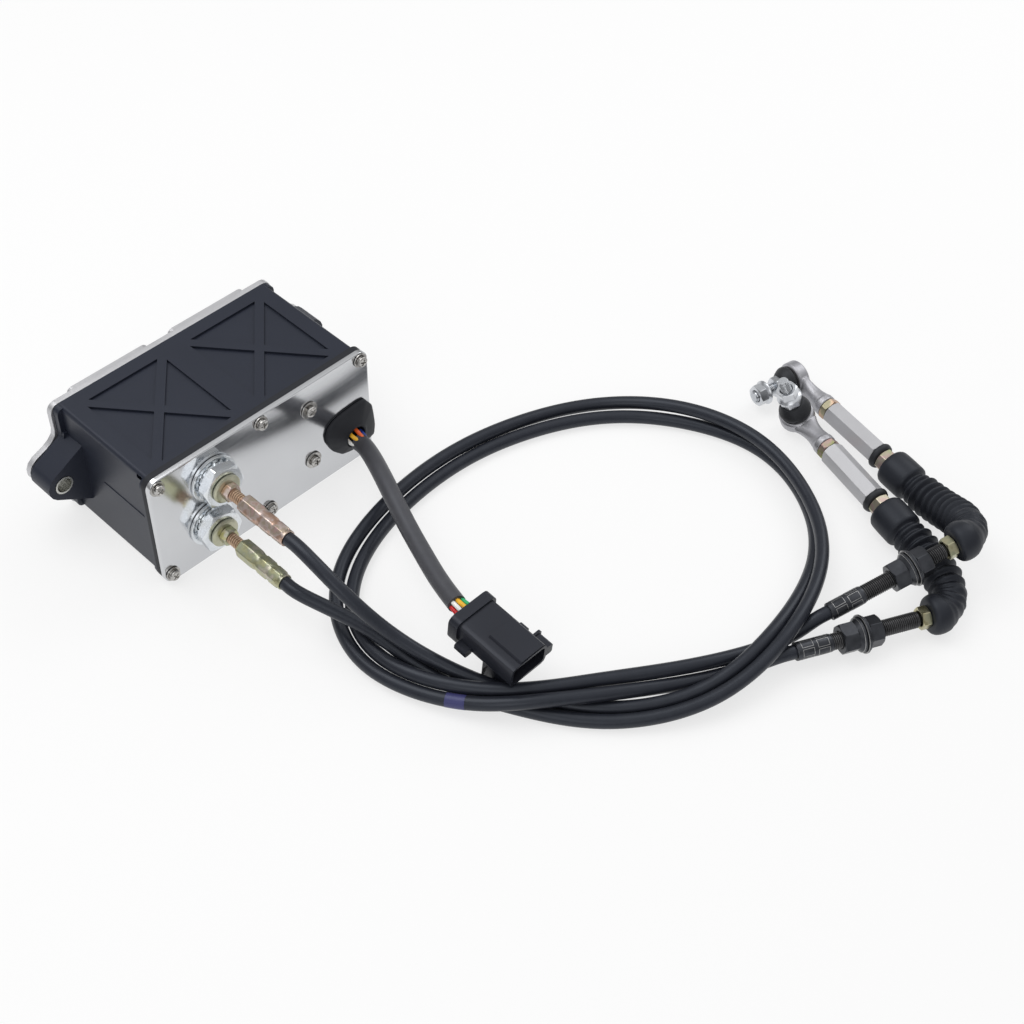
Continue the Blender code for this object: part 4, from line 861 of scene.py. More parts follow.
class GovernorCables(bpy.types.PropertyGroup):
    conduit_radius: length_prop("Conduit radius", "Outer radius of both control cables", 0.0044)
    conduit_colour: colour_prop("Conduit colour", "Colour of the cable jacket", (0.011, 0.0125, 0.018))
    tape_colour: colour_prop("Tape colour", "Colour of the lower cable's marking tape", (0.035, 0.035, 0.11))
    sleeve_radius: length_prop("Sleeve radius", "Outer radius of the harness sleeve", 0.0059)
    sleeve_colour: colour_prop("Sleeve colour", "Colour of the harness sleeve", (0.05, 0.05, 0.056))


class GovernorBoots(bpy.types.PropertyGroup):
    root_radius: length_prop("Root radius", "Radius at the bottom of a pleat", 0.0093)
    crest_radius: length_prop("Crest radius", "Radius at the top of a pleat", 0.0126)
    pleat: length_prop("Pleat", "Distance from one crest to the next", 0.0064)
    colour: colour_prop("Boot colour", "Colour of the boots' rubber", (0.008, 0.009, 0.013))


class GovernorMetal(bpy.types.PropertyGroup):
    plate_colour: colour_prop("Plate colour", "Colour of the front plate", (0.66, 0.67, 0.69))
    plate_gloss: bpy.props.FloatProperty(
        name="Plate roughness", description="Roughness of the front plate", default=0.12, min=0.0, max=1.0,
        subtype="FACTOR")
    cast_colour: colour_prop("Cast colour", "Colour of the cover and the rod ends", (0.68, 0.68, 0.7))
    bar_colour: colour_prop("Bar colour", "Colour of the two turnbuckle bars", (0.58, 0.58, 0.6))


class GovernorPlastic(bpy.types.PropertyGroup):
    housing_colour: colour_prop("Housing colour", "Colour of the moulded housing", (0.012, 0.0145, 0.024))
    plug_colour: colour_prop("Plug colour", "Colour of the connector", (0.010, 0.011, 0.016))


class GovernorStage(bpy.types.PropertyGroup):
    floor_colour: colour_prop("Floor colour", "Colour of the floor", (0.9, 0.9, 0.9))
    lens: bpy.props.FloatProperty(
        name="Focal length", description="Camera lens", default=62.23, min=10.0, max=300.0, unit="CAMERA")
    key_power: bpy.props.FloatProperty(
        name="Key light", description="Power of the large lamp", default=9.0, min=0.0, unit="POWER")
    fill_power: bpy.props.FloatProperty(
        name="Fill light", description="Power of the second lamp", default=4.0, min=0.0, unit="POWER")


def node_object(name):
    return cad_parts[name]


def dress(names, material):
    """Gives carried-over nodes their finish."""
    for name in names:
        obj = node_object(name)
        obj.data.materials.clear()
        obj.data.materials.append(material)


class GOVERNOR_OT_stage(bpy.types.Operator):
    """Sets the camera at the photograph's angle, the pale floor and the soft lamps"""
    bl_idname = "governor.stage"
    bl_label = "Studio"

    def execute(self, context):
        s = context.scene.governor_stage
        self.camera(context, s.lens)
        self.floor(context, s.floor_colour)
        self.lamp(context, "key_lamp", s.key_power, (-0.2, 0.5, 1.5), (0.1, -0.15, 0.0), 1.3)
        self.lamp(context, "fill_lamp", s.fill_power, (-1.3, -1.0, 0.9), (0.1, -0.2, 0.0), 1.0)
        self.lamp(context, "rim_lamp", s.fill_power, (1.3, -0.2, 1.0), (0.1, -0.2, 0.0), 0.9)
        self.world(context)
        context.scene.view_settings.view_transform = "Standard"
        return {"FINISHED"}

    def camera(self, context, lens):
        cam = bpy.data.cameras.new("studio_camera")
        cam.lens, cam.sensor_width = lens, 36.0
        cam.clip_start, cam.clip_end = 0.01, 50.0
        eye = bpy.data.objects.new("studio_camera", cam)
        right, down = Vector(CAMERA_RIGHT).normalized(), Vector(CAMERA_DOWN).normalized()
        back = right.cross(-down).normalized()
        turn = Matrix((right, back.cross(right), back)).transposed().to_4x4()
        eye.matrix_world = Matrix.Translation(CAMERA_AT) @ turn
        context.scene.collection.objects.link(eye)
        context.scene.camera = eye

    def floor(self, context, colour):
        half, z = 6.0, -0.0002
        corners = [(-half, -half, z), (half, -half, z), (half, half, z), (-half, half, z)]
        obj = bpy.data.objects.new("floor", solid("floor", [(corners, [(0, 1, 2, 3)])]))
        obj.data.materials.append(self.floor_paint(colour))
        context.scene.collection.objects.link(obj)

    def floor_paint(self, colour):
        """Matt to the lamps, and lighter to the camera and in reflections."""
        p = Paint("pale floor")
        path = p.node("ShaderNodeLightPath").outputs
        seen = p.maths("MAXIMUM", Term(p, path["Is Camera Ray"]), Term(p, path["Is Glossy Ray"]))
        seen = p.maths("MAXIMUM", seen, Term(p, path["Is Transmission Ray"]))
        matt = p.node("ShaderNodeBsdfDiffuse", None, {"Color": tuple(colour)})
        glow = p.node("ShaderNodeEmission", None, {"Color": (1.0, 1.0, 1.0), "Strength": 1.0})
        both = p.node("ShaderNodeMixShader", None, {0: seen * 0.7, 1: matt.outputs[0], 2: glow.outputs[0]})
        p.node("ShaderNodeOutputMaterial", None, {"Surface": both.outputs[0]})
        return p.material

    def lamp(self, context, name, power, at, towards, size):
        data = bpy.data.lights.new(name, "AREA")
        data.energy, data.shape, data.size = power, "DISK", size
        obj = bpy.data.objects.new(name, data)
        obj.location = at
        obj.rotation_euler = (Vector(towards) - Vector(at)).to_track_quat("-Z", "Y").to_euler()
        context.scene.collection.objects.link(obj)

    def world(self, context):
        world = bpy.data.worlds.new("studio_world")
        world.use_nodes = True
        context.scene.world = world
        g = Graph(world.node_tree)
        g.tree.nodes.clear()
        where = g.node("ShaderNodeTexCoord").outputs["Generated"]
        high = Term(g, g.node("ShaderNodeSeparateXYZ", None, {0: where}).outputs["Z"])
        greys = [(0.0, 0.75), (0.5, 0.55), (0.62, 0.28), (0.78, 0.5), (1.0, 0.95)]
        sky = g.node("ShaderNodeValToRGB", {"stops": greys}, {0: high * 0.5 + 0.5}).outputs[0]
        back = g.node("ShaderNodeBackground", None, {"Color": sky, "Strength": 1.0})
        g.node("ShaderNodeOutputWorld", None, {"Surface": back.outputs[0]})


class GOVERNOR_OT_cables(bpy.types.Operator):
    """Lays both control cables, round the loop and to their hubs"""
    bl_idname = "governor.cables"
    bl_label = "Control cables"

    def execute(self, context):
        s = context.scene.governor_cables
        jacket = vinyl("cable jacket", tuple(s.conduit_colour), 0.34)
        r = s.conduit_radius / MM
        for side in ENDS:
            name, path = side + "_cable", cable_path(side)
            rows = even_rows(length_of(path) / MM, r, 4.0)
            obj = add_object(name, capped(name, sweep(path, rows, 20), 20), jacket)
            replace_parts(obj, side + "_conduit")
            on_it = [side + end for end in HUB_PIECES]
            if side == "lower":
                self.tape(path, r, tuple(s.tape_colour))
                on_it.append("cable_tape")
            tuple(path[0] * MM)
            [tuple(p * MM) for p in path]
        return {"FINISHED"}

    def tape(self, path, r, colour):
        """A band of marking tape round the jacket."""
        marks = distances(path)
        part = path[(marks >= TAPE_FROM) & (marks <= TAPE_TO)]
        long = length_of(part) / MM
        rows = [(0.0, r - 0.3), *even_rows(long, r + TAPE_T, 2.0), (long, r - 0.3)]
        band = capped("cable_tape", sweep(part, rows, 24), 24)
        add_object("cable_tape", band, vinyl("marking tape", colour))


class GOVERNOR_OT_sleeve(bpy.types.Operator):
    """Runs the harness sleeve from the grommet to the plug"""
    bl_idname = "governor.sleeve"
    bl_label = "Harness sleeve"

    def execute(self, context):
        s = context.scene.governor_cables
        path = sleeve_path()
        rows = even_rows(length_of(path) / MM, s.sleeve_radius / MM, 3.0)
        paint = vinyl("sleeve vinyl", tuple(s.sleeve_colour), 0.42)
        obj = add_object("sleeve", capped("sleeve", sweep(path, rows, 24), 24), paint)
        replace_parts(obj, "harness_sleeve")
        tuple(path[0] * MM)
        [tuple(p * MM) for p in path]
        return {"FINISHED"}


class GOVERNOR_OT_boots(bpy.types.Operator):
    """Moulds the two pleated boots between the hubs and the links"""
    bl_idname = "governor.boots"
    bl_label = "Boots"

    def execute(self, context):
        s = context.scene.governor_boots
        rubber = soft_rubber("boot rubber", tuple(s.colour), 0.5, 0.35)
        root, crest = s.root_radius / MM, s.crest_radius / MM
        for side in ENDS:
            name, path = side + "_bellows", boot_line(side)
            total = length_of(path) / MM
            cuff = total - CUFF_LEN
            count = round((cuff - BULB_LEN) / (s.pleat / MM))
            pitch = (cuff - BULB_LEN) / count
            marks = np.linspace(BULB_LEN, cuff, count * 10 + 1)
            before, fold, after = self.profile(marks, root, total)
            swept = sweep(path, before + fold + after, BOOT_SIDES)
            obj = add_object(name, capped(name, swept, BOOT_SIDES, 50.0, True), rubber, None)
            shares = [(m - BULB_LEN) / (cuff - BULB_LEN) for m in marks]
            deep = [min(1.0, max(0.0, (x - 0.12) / 0.3)) * min(1.0, (1.0 - x) * 14.0) for x in shares]
            fine = [min(1.0, x * 8.0) * max(0.0, 1.0 - x / 0.45) for x in shares]
            pleats, wrinkles = (deep, crest - root, pitch, 0.1), (fine, 1.5, pitch * 0.6, 0.9)
            for share, depth, step, waver in (pleats, wrinkles):
                mask = np.repeat([0.0] * len(before) + share + [0.0] * len(after), BOOT_SIDES)
                obj.data.attributes["skin"].data.foreach_set("value", mask.tolist())
                run_tree(obj, tree_named("Ridges", ridge_tree), {
                    "Depth": depth * MM, "Pitch": step * MM, "Start": (BULB_LEN + step / 2) * MM,
                    "Roundness": 0.75, "Waver": waver, "Finish": rubber})
            obj.data.shade_smooth()
            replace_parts(obj, side + "_boot")
            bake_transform(obj)
        return {"FINISHED"}

    def profile(self, marks, root, total):
        """Rows of (distance along, radius): the bulb, the pleats' root, then the cuff and the bore."""
        bulb, cuff = marks[0], marks[-1]
        before = [(0.0, 5.7), (0.0, 9.4), (0.3, 10.4), (1.2, 11.5), (2.6, 12.2), (4.4, 12.6), (6.6, 12.7),
                  (8.4, 12.5)]
        fold = [(m, root + (12.2 - root) * max(0.0, 1.0 - (m - bulb) / 9.0) ** 2) for m in marks]
        after = [(cuff + 0.5, root + 0.2), (cuff + 1.2, 11.3), (cuff + 2.2, 12.2), (cuff + 3.6, 12.5),
                 (total - 9.0, 12.6), (total - 3.6, 12.5), (total - 1.8, 12.2), (total - 0.6, 11.4),
                 (total, 10.2), (total, 8.8), (total - 1.0, BOOT_BORE + 0.1), (total - 16.0, BOOT_BORE + 0.1)]
        after += [(m, BOOT_BORE) for m in np.linspace(cuff, bulb, 24)] + [(6.0, BOOT_BORE)]
        return before, fold, after


class GOVERNOR_OT_housing(bpy.types.Operator):
    """Finishes the moulded housing, the cast cover and the bushings"""
    bl_idname = "governor.housing"
    bl_label = "Housing"

    def execute(self, context):
        paint = moulded("moulded housing", tuple(context.scene.governor_plastic.housing_colour))
        softened("moulded_housing", "housing", 0.35, paint)
        dress(["position_sensor"], paint)
        line = piece("parting_line", [box(Matrix(), (-81.95, -44.0, 46.9), (-81.2, 6.0, 47.7))], paint)
        with_modifiers(line, ("BEVEL", {"width": 0.2 * MM, "segments": 2}))
        alloy = cast("cast cover", tuple(context.scene.governor_metal.cast_colour))
        softened("cast_cover", "back_cover", 0.6, alloy)
        zinc = plated("bushing zinc", [(0.0, (0.5, 0.5, 0.46)), (1.0, (0.7, 0.7, 0.68))])
        dress(["left_bushing", "right_bushing"], zinc)
        return {"FINISHED"}


class GOVERNOR_OT_plate(bpy.types.Operator):
    """Finishes the front plate, its gasket and its screws"""
    bl_idname = "governor.plate"
    bl_label = "Front plate"

    def execute(self, context):
        s = context.scene.governor_metal
        rubber = soft_rubber("gasket rubber", (0.01, 0.01, 0.012))
        steel = brushed("plate steel", tuple(s.plate_colour), s.plate_gloss, (30.0, 30.0, 900.0), 0.03)
        low, high = (Vector(p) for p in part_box("front_plate"))
        plate = piece("polished_plate", [rounded_slab(low, high, PLATE_CORNER, 0.6)], steel, 60.0)
        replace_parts(plate, "front_plate")
        inset = Vector((0.15, 0.0, 0.15)) * MM
        front, back = low.copy(), high.copy()
        front.y, back.y = high.y, high.y + RIM_DEPTH * MM
        rim = rounded_slab(front + inset, back - inset, PLATE_CORNER, 0.5)
        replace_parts(piece("plate_gasket", [rim], rubber, 60.0), "gasket")
        self.grommet(rubber)
        self.screws()
        return {"FINISHED"}

    def screws(self):
        """The plate's six screws and the bracket's two, each turned its own way."""
        steel = plated("screw steel", [(0.3, (0.3, 0.29, 0.28)), (0.7, (0.62, 0.61, 0.59))], 0.24, 400.0)
        out = axis_frame((0.0, 0.0, 0.0), (0.0, -1.0, 0.0))
        for kind, washer, count in (("plate_screw", 5.0, 6), ("bracket_screw", 6.0, 2)):
            nodes = ["%s_%d" % (kind, i + 1) for i in range(count)]
            places = []
            for i, node in enumerate(nodes):
                low, high = (Vector(p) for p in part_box(node))
                centre = (low + high) / 2
                at = Matrix.Translation((centre.x, (PLATE_Y - GAP) * MM, centre.z))
                places.append(at @ out @ Matrix.Rotation(0.5 + 1.1 * i, 4, "Z"))
            mesh = screw_mesh(kind + "s_one", 3.6, 1.9, washer)
            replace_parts(repeated(kind + "s", mesh, places, steel), *nodes)

    def grommet(self, rubber):
        """Domed grommet over the CAD grommet's own outline, with the opening the wires leave by."""
        spots = [Vector((v.co.x, v.co.z)) / MM for v in node_object("grommet").data.vertices]
        low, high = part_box("grommet")
        middle = Vector(((low[0] + high[0]) / 2, (low[2] + high[2]) / 2)) / MM
        hole = Vector((SLEEVE_START[0], SLEEVE_START[2] + 3.5))
        sides = 96
        rays = [(2.0 * math.pi * i / sides, flat_ray(2.0 * math.pi * i / sides)) for i in range(sides)]
        rim = []
        for a, ray in rays:
            reach = min(max((q - middle).dot(flat_ray(b)) for q in spots) / max(1e-3, math.cos(b - a))
                        for b in np.linspace(a - 1.2, a + 1.2, 49))
            rim.append(reach * ray)
        verts = []
        for scale, share, radius, out in GROMMET_LOOPS:
            for (_, ray), edge in zip(rays, rim):
                at = (middle + edge * scale).lerp(hole + ray * radius, share ** 2)
                verts.append(Vector((at.x, PLATE_Y - out, at.y)) * MM)
        dome = (verts, skin(len(GROMMET_LOOPS), sides, lids=True))
        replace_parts(piece("wire_grommet", [dome], rubber, 50.0), "grommet")


class GOVERNOR_OT_drive(bpy.types.Operator):
    """Finishes what works inside: drum, pinion, motor, bracket and inner wires"""
    bl_idname = "governor.drive"
    bl_label = "Drive"

    def execute(self, context):
        dress(["drum"], moulded("gear nylon", (0.66, 0.6, 0.42), 0.4))
        drawn = brushed("drawn steel", (0.6, 0.6, 0.6), 0.25, (300.0, 300.0, 40.0))
        dress(["motor_pinion", "upper_wire", "lower_wire"], drawn)
        sheet = brushed("sheet zinc", (0.62, 0.63, 0.64), 0.3, (60.0, 900.0, 60.0))
        dress(["motor", "motor_bracket"], sheet)
        return {"FINISHED"}


class GOVERNOR_OT_fittings(bpy.types.Operator):
    """Turns the washers, nuts, glands and crimped ferrules of both cables"""
    bl_idname = "governor.fittings"
    bl_label = "Cable fittings"

    def execute(self, context):
        zinc = plated("bright zinc", [(0.0, (0.58, 0.62, 0.66)), (0.5, (0.76, 0.79, 0.82)),
                                      (1.0, (0.7, 0.7, 0.66))], 0.25)
        olive = plated("olive zinc", [(0.3, (0.32, 0.31, 0.19)), (0.44, (0.46, 0.45, 0.27)),
                                      (0.54, (0.38, 0.4, 0.28)), (0.64, (0.54, 0.5, 0.42)),
                                      (0.72, (0.5, 0.47, 0.24))], 0.32, 170.0)
        pale = plated("gland zinc", [(0.3, (0.42, 0.42, 0.31)), (0.7, (0.55, 0.54, 0.42))], 0.36)
        copper = plated("copper zinc", [(0.3, (0.42, 0.27, 0.19)), (0.43, (0.55, 0.38, 0.3)),
                                        (0.52, (0.66, 0.55, 0.52)), (0.6, (0.5, 0.42, 0.32)),
                                        (0.7, (0.6, 0.42, 0.4))], 0.32, 170.0)
        # The fitting thread's grooves get painted shade
        red = plated("red copper", [(0.2, (0.5, 0.3, 0.2)), (0.8, (0.62, 0.48, 0.34))],
                     0.34, 130.0, 1.0, True)
        for side, x, z, finish, turn in (("upper", UPPER_X, UPPER_Z, copper, 0.35),
                                         ("lower", LOWER_X, LOWER_Z, olive, 0.1)):
            f = axis_frame((x, PLATE_Y, z), (0.0, -1.0, 0.0))
            self.washers(side, f, zinc)
            big = nut(f, ACROSS["bulkhead"], *SPAN["bulkhead"], 9.3, 0.3)
            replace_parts(piece(side + "_big_nut", [big], zinc, 25.0), side + "_bulkhead_nut")
            collar = piece(side + "_gland_collar", [turned(f, GLAND_PROFILE, 56)], pale, 40.0)
            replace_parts(collar, side + "_gland")
            small = nut(f, ACROSS["gland"], *SPAN["gland"], 3.3, 0.2)
            piece(side + "_small_nut", [small], finish, 25.0)
            thread(side + "_fitting_thread", f, *THREADS["fitting"], red)
            ferrule = piece(side + "_crimped_ferrule", [hexed(f, FERRULE_ROWS, turn)], finish)
            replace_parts(ferrule, side + "_ferrule")
        return {"FINISHED"}

    def washers(self, side, f, zinc):
        """Plain washer, and the toothed lock washer under the nut."""
        plain = turned(f, [(9.3, 0.3), (15.9, 0.3), (16.2, 0.6), (16.2, 2.1), (15.9, 2.4), (9.3, 2.4)],
                       72, True)
        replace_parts(piece(side + "_washer", [plain], zinc), side + "_lock_washer")
        ring = turned(f, [(9.4, 2.75), (12.6, 2.75), (12.6, 4.35), (9.4, 4.35)], 48, True)
        piece(side + "_tooth_ring", [ring], zinc)
        tooth = solid(side + "_tooth", [box(Matrix(), (-1.2, -0.9, -0.35), (1.2, 0.9, 0.35))], 30.0)
        out = Matrix.Translation(Vector((13.2, 0.0, 3.55)) * MM) @ Matrix.Rotation(TOOTH_TWIST, 4, "X")
        places = [f @ Matrix.Rotation(2.0 * math.pi * i / TEETH, 4, "Z") @ out for i in range(TEETH)]
        repeated(side + "_lock_teeth", tooth, places, zinc)


def crimp_mark(name, radius, length, half):
    """Thin bright frame that a crimping tool leaves round each flat, bent to the tube's radius."""
    outline = [(-half, 0.0), (half, 0.0), (half, length), (-half, length)]
    steps, line = 6, 0.3
    edge = math.degrees(line / radius)
    verts = []
    for (a, h), (b, k) in zip(outline, outline[1:] + outline[:1]):
        for share in (i / steps for i in range(steps)):
            x, y = a + (b - a) * share, h + (k - h) * share
            inner_x, inner_y = max(-half + edge, min(half - edge, x)), max(line, min(length - line, y))
            for angle, height, r in ((x, y, radius - line), (x, y, radius),
                                     (inner_x, inner_y, radius), (inner_x, inner_y, radius - line)):
                verts.append(polar(r, math.radians(angle), height))
    return solid(name, [(verts, skin(len(verts) // 4, 4, closed=True))], 40.0)


class GOVERNOR_OT_hubs(bpy.types.Operator):
    """Threads both hubs and fits their nuts, washers and collars"""
    bl_idname = "governor.hubs"
    bl_label = "Threaded hubs"

    def execute(self, context):
        oxide = plated("black oxide", [(0.2, (0.026, 0.028, 0.034)), (0.8, (0.068, 0.072, 0.082))],
                       0.32, 130.0, 0.7)
        # The hub thread's grooves get painted shade
        screwed = plated("black oxide thread", [(0.2, (0.05, 0.05, 0.053)), (0.8, (0.12, 0.12, 0.125))],
                         0.38, 130.0, 0.8, True)
        # Lighter steel: the crimp tool's marks, and a painted highlight on the washer's and the flange's
        # edges
        wear_and_highlight = plated("worn steel", [(0.2, (0.25, 0.25, 0.25)), (0.8, (0.5, 0.5, 0.5))], 0.4, 500.0)
        brassy = plated("yellow zinc", [(0.35, (0.36, 0.33, 0.19)), (0.5, (0.52, 0.49, 0.33)),
                                        (0.65, (0.4, 0.41, 0.28))], 0.3, 200.0)
        for side, e in ENDS.items():
            f = axis_frame(e["hub"], e["out"])
            crimp = [(4.6, 0.0), (5.4, 0.0), (5.65, 0.4), (5.65, 22.2), (5.3, 23.2), (4.6, 24.2)]
            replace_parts(piece(side + "_hub_crimp", [turned(f, crimp, 56, True)], oxide), side + "_hub")
            thread(side + "_hub_thread", f, *THREADS["hub"], screwed)
            places = [f @ Matrix.Rotation(math.radians(60.0 * i + 20.0 * j), 4, "Z")
                      @ Matrix.Translation((0.0, 0.0, (MARK_FROM + MARK_STEP * j) * MM))
                      for j in range(2) for i in range(6)]
            mark = crimp_mark(side + "_crimp_mark", MARK_R, MARK_LEN, MARK_HALF)
            repeated(side + "_crimp_marks", mark, places, wear_and_highlight)
            self.nuts(side, f, e["nuts"], oxide, wear_and_highlight)
            low = HUB_LEN + GAP
            collar = nut(f, ACROSS["collar"], low, low + COLLAR_T, 4.9, 0.3)
            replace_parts(piece(side + "_hub_hex", [collar], brassy, 25.0), side + "_hub_collar")
        return {"FINISHED"}

    def nuts(self, side, f, n, oxide, wear_and_highlight):
        """Flange nut, washer and locking nut, which meet n millimetres along the hub."""
        flange = self.disc(f, [(8.2, n - 4.8), (10.4, n - 2.2), (10.8, n - 1.6), (10.8, n - 0.7),
                               (10.4, n - 0.4)])
        first = nut(f, ACROSS["hub"], n - 14.0, n - 4.2, HUB_BORE, 0.5)
        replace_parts(piece(side + "_flanged_nut", [first, flange], oxide, 25.0), side + "_flange_nut")
        loose = self.disc(f, [(11.7, n - 0.1), (12.0, n + 0.2), (12.0, n + 1.0), (11.7, n + 1.3)])
        piece(side + "_hub_washer", [loose], oxide)
        # Thin lighter lips on the washer's and the flange's edges: a painted highlight
        highlight_lips = []
        for r, h in ((11.75, n - 0.16), (10.45, n - 2.28)):
            highlight_lips.append(turned(f, [(r - 0.35, h), (r, h), (r + 0.3, h + 0.25), (r + 0.1, h + 0.3),
                                   (r - 0.35, h + 0.1)], 56, True))
        piece(side + "_hub_rims", highlight_lips, wear_and_highlight)
        second = self.disc(f, [(10.6, n + 1.5), (10.9, n + 1.8), (10.9, n + 2.5), (10.6, n + 2.8)])
        jam = nut(f, ACROSS["hub"], n + 2.95, n + 12.0, HUB_BORE, 0.2)
        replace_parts(piece(side + "_locking_nut", [jam, second], oxide, 25.0), side + "_jam_nut")

    def disc(self, f, rim):
        """A disc over the hub's thread with the given rim."""
        return turned(f, [(HUB_BORE, rim[0][1]), *rim, (HUB_BORE, rim[-1][1])], 56, True)


class GOVERNOR_OT_links(bpy.types.Operator):
    """Makes the turnbuckle bars, lock nuts, rod ends, dust caps and ball studs"""
    bl_idname = "governor.links"
    bl_label = "Links"

    def execute(self, context):
        s = context.scene.governor_metal
        self.bar = cast("satin bar", tuple(s.bar_colour), 0.5, 0.45)
        self.rod = cast("cast rod end", (0.5, 0.5, 0.53), 0.42, 0.8)
        self.zinc = plated("stud zinc", [(0.2, (0.5, 0.52, 0.55)), (0.8, (0.72, 0.74, 0.77))], 0.28)
        # The stud thread's grooves get painted shade
        self.cut = plated("stud thread zinc", [(0.2, (0.42, 0.44, 0.47)), (0.8, (0.66, 0.68, 0.71))],
                          0.26, 130.0, 1.0, True)
        self.rubber = soft_rubber("cap rubber", (0.014, 0.014, 0.015), 0.5)
        orange = plated("orange zinc", [(0.35, (0.45, 0.27, 0.17)), (0.5, (0.5, 0.38, 0.28)),
                                        (0.62, (0.3, 0.28, 0.19))], 0.36, 90.0)
        pink = plated("pink zinc", [(0.42, (0.46, 0.22, 0.22)), (0.54, (0.48, 0.36, 0.32)),
                                    (0.64, (0.34, 0.38, 0.16))], 0.36, 80.0)
        self.tan = plated("tan zinc", [(0.35, (0.36, 0.33, 0.24)), (0.47, (0.44, 0.4, 0.32)),
                                       (0.55, (0.46, 0.34, 0.32)), (0.66, (0.38, 0.42, 0.25))], 0.36, 80.0)
        for side, finish, turn in (("upper", orange, 0.15), ("lower", pink, 0.6)):
            e = ENDS[side]
            d = Vector(e["line"]).normalized()
            roll = math.radians(e["roll"])
            eye = (UP * math.cos(roll) + UP.cross(d) * math.sin(roll)).normalized()
            self.turnbuckle(side, axis_frame(e["ball"], -d, eye), finish, turn)
            g = axis_frame(e["ball"], eye, -d)
            self.rod_end(side, g)
            self.cap(side, g, math.radians(e["lean"]))
            self.stud(side, g @ Matrix.Rotation(-math.radians(e["lean"]), 4, "Y"), e["nut_at"])
        return {"FINISHED"}

    def turnbuckle(self, side, f, finish, turn):
        """The bar between its two lock nuts, with a rubber ring at its rear end."""
        body = side + "_link"
        front = nut(f, ACROSS["lock"], *SPAN["front"], 3.0, 0.4)
        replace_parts(piece(side + "_front_nut", [front], finish, 25.0, body), side + "_front_lock_nut")
        bar = nut(f, ACROSS["bar"], *SPAN["bar"], 3.1, turn)
        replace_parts(piece(side + "_bar", [bar], self.bar, 25.0, body), side + "_link_bar")
        ring = turned(f, [(3.2, 85.75), (8.0, 85.75), (8.75, 85.9), (9.05, 86.5), (9.0, 87.8), (8.6, 89.0),
                          (7.8, 89.9), (7.0, 90.1), (3.2, 90.1)], 56, True)
        piece(side + "_seal_ring", [ring], self.rubber, 50.0, body)
        tail = turned(f, [(0.0, 85.7), (3.0, 85.7), (3.0, 112.0), (2.0, 113.0), (0.0, 113.0)], 24)
        rear = nut(f, ACROSS["lock"], *SPAN["rear"], 3.3, 0.1)
        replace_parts(piece(side + "_rear_nut", [rear, tail], self.tan, 25.0, body), side + "_rear_lock_nut")

    def rod_end(self, side, g):
        """Cast eye and its waisted shank, melted into one."""
        t = EYE_HALF
        ring = turned(g, [(6.45, -t), (10.6, -t), (11.8, -t + 1.2), (11.8, t - 1.2), (10.6, t), (6.45, t)],
                      64, True)
        along = g @ Matrix.Rotation(math.radians(90), 4, "Y")
        rows = [(9.4, 9.0, 4.0), (11.0, 8.2, 4.1), (13.0, 7.4, 4.4), (16.0, 6.7, 4.8), (19.0, 6.3, 5.2),
                (22.0, 6.2, 5.6), (25.0, 6.5, 6.1), (27.5, 6.9, 6.7), (28.6, 7.0, 6.9), (29.2, 7.5, 7.5),
                (32.9, 7.6, 7.6), (33.5, 7.1, 7.1)]
        sides = 40
        verts = []
        for s, w, h in rows:
            for a in (2 * math.pi * i / sides for i in range(sides)):
                verts.append(along @ (Vector((h * math.cos(a), w * math.sin(a), s)) * MM))
        shank = (verts, skin(len(rows), sides, lids=True))
        obj = piece(side + "_eye", [ring, shank], self.rod, 30.0, side + "_link")
        with_modifiers(obj, ("REMESH", {"mode": "VOXEL", "voxel_size": 0.0004}),
                       ("SMOOTH", {"factor": 0.5, "iterations": 4}))
        obj.data.shade_smooth()
        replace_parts(obj, side + "_rod_end")

    def cap(self, side, g, lean):
        """Rubber dust cap between the eye and the stud, leaning more towards its crown."""
        verts, faces = turned(Matrix(), [(r, h) for r, h, _ in CAP_ROWS], 48, True)
        shaped = [g @ (Matrix.Rotation(-lean * CAP_ROWS[i // 48][2], 4, "Y") @ v)
                  for i, v in enumerate(verts)]
        cap = piece(side + "_cap", [(shaped, faces)], self.rubber, 50.0, None)
        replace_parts(cap, side + "_dust_cap")
        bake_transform(cap)

    def stud(self, side, h, nut_at):
        """Ball stud with its hexagon, its thread and the lever's flanged nut."""
        r = BALL_R
        body = side + "_stud"
        ball = [(r * math.cos(a), r * math.sin(a)) for a in np.linspace(-math.pi / 2, math.radians(56), 16)]
        ball[0] = (0.0, -r)
        neck = turned(h, ball + [(3.4, 6.5), (3.4, 13.5), (3.4, 19.0), (0.0, 19.0)], 40)
        hexagon = nut(h, ACROSS["stud"], 13.4, SHOULDER, 3.4, 0.3)
        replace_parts(piece(side + "_ball", [neck, hexagon], self.zinc, 25.0, body), side + "_ball_stud")
        thread(side + "_stud_thread", h, *THREADS["stud"], self.cut, body)
        low = SHOULDER + nut_at
        flange = turned(h, [(LEVER_BORE, low), (8.0, low), (8.3, low + 0.3), (8.3, low + 1.0),
                            (7.9, low + 1.5), (6.6, low + 2.5), (LEVER_BORE, low + 2.5)], 48, True)
        lever = nut(h, ACROSS["lever"], low + 2.2, low + 8.2, LEVER_BORE, 0.1)
        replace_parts(piece(side + "_lever_nut", [lever, flange], self.zinc, 25.0, body), side + "_stud_nut")


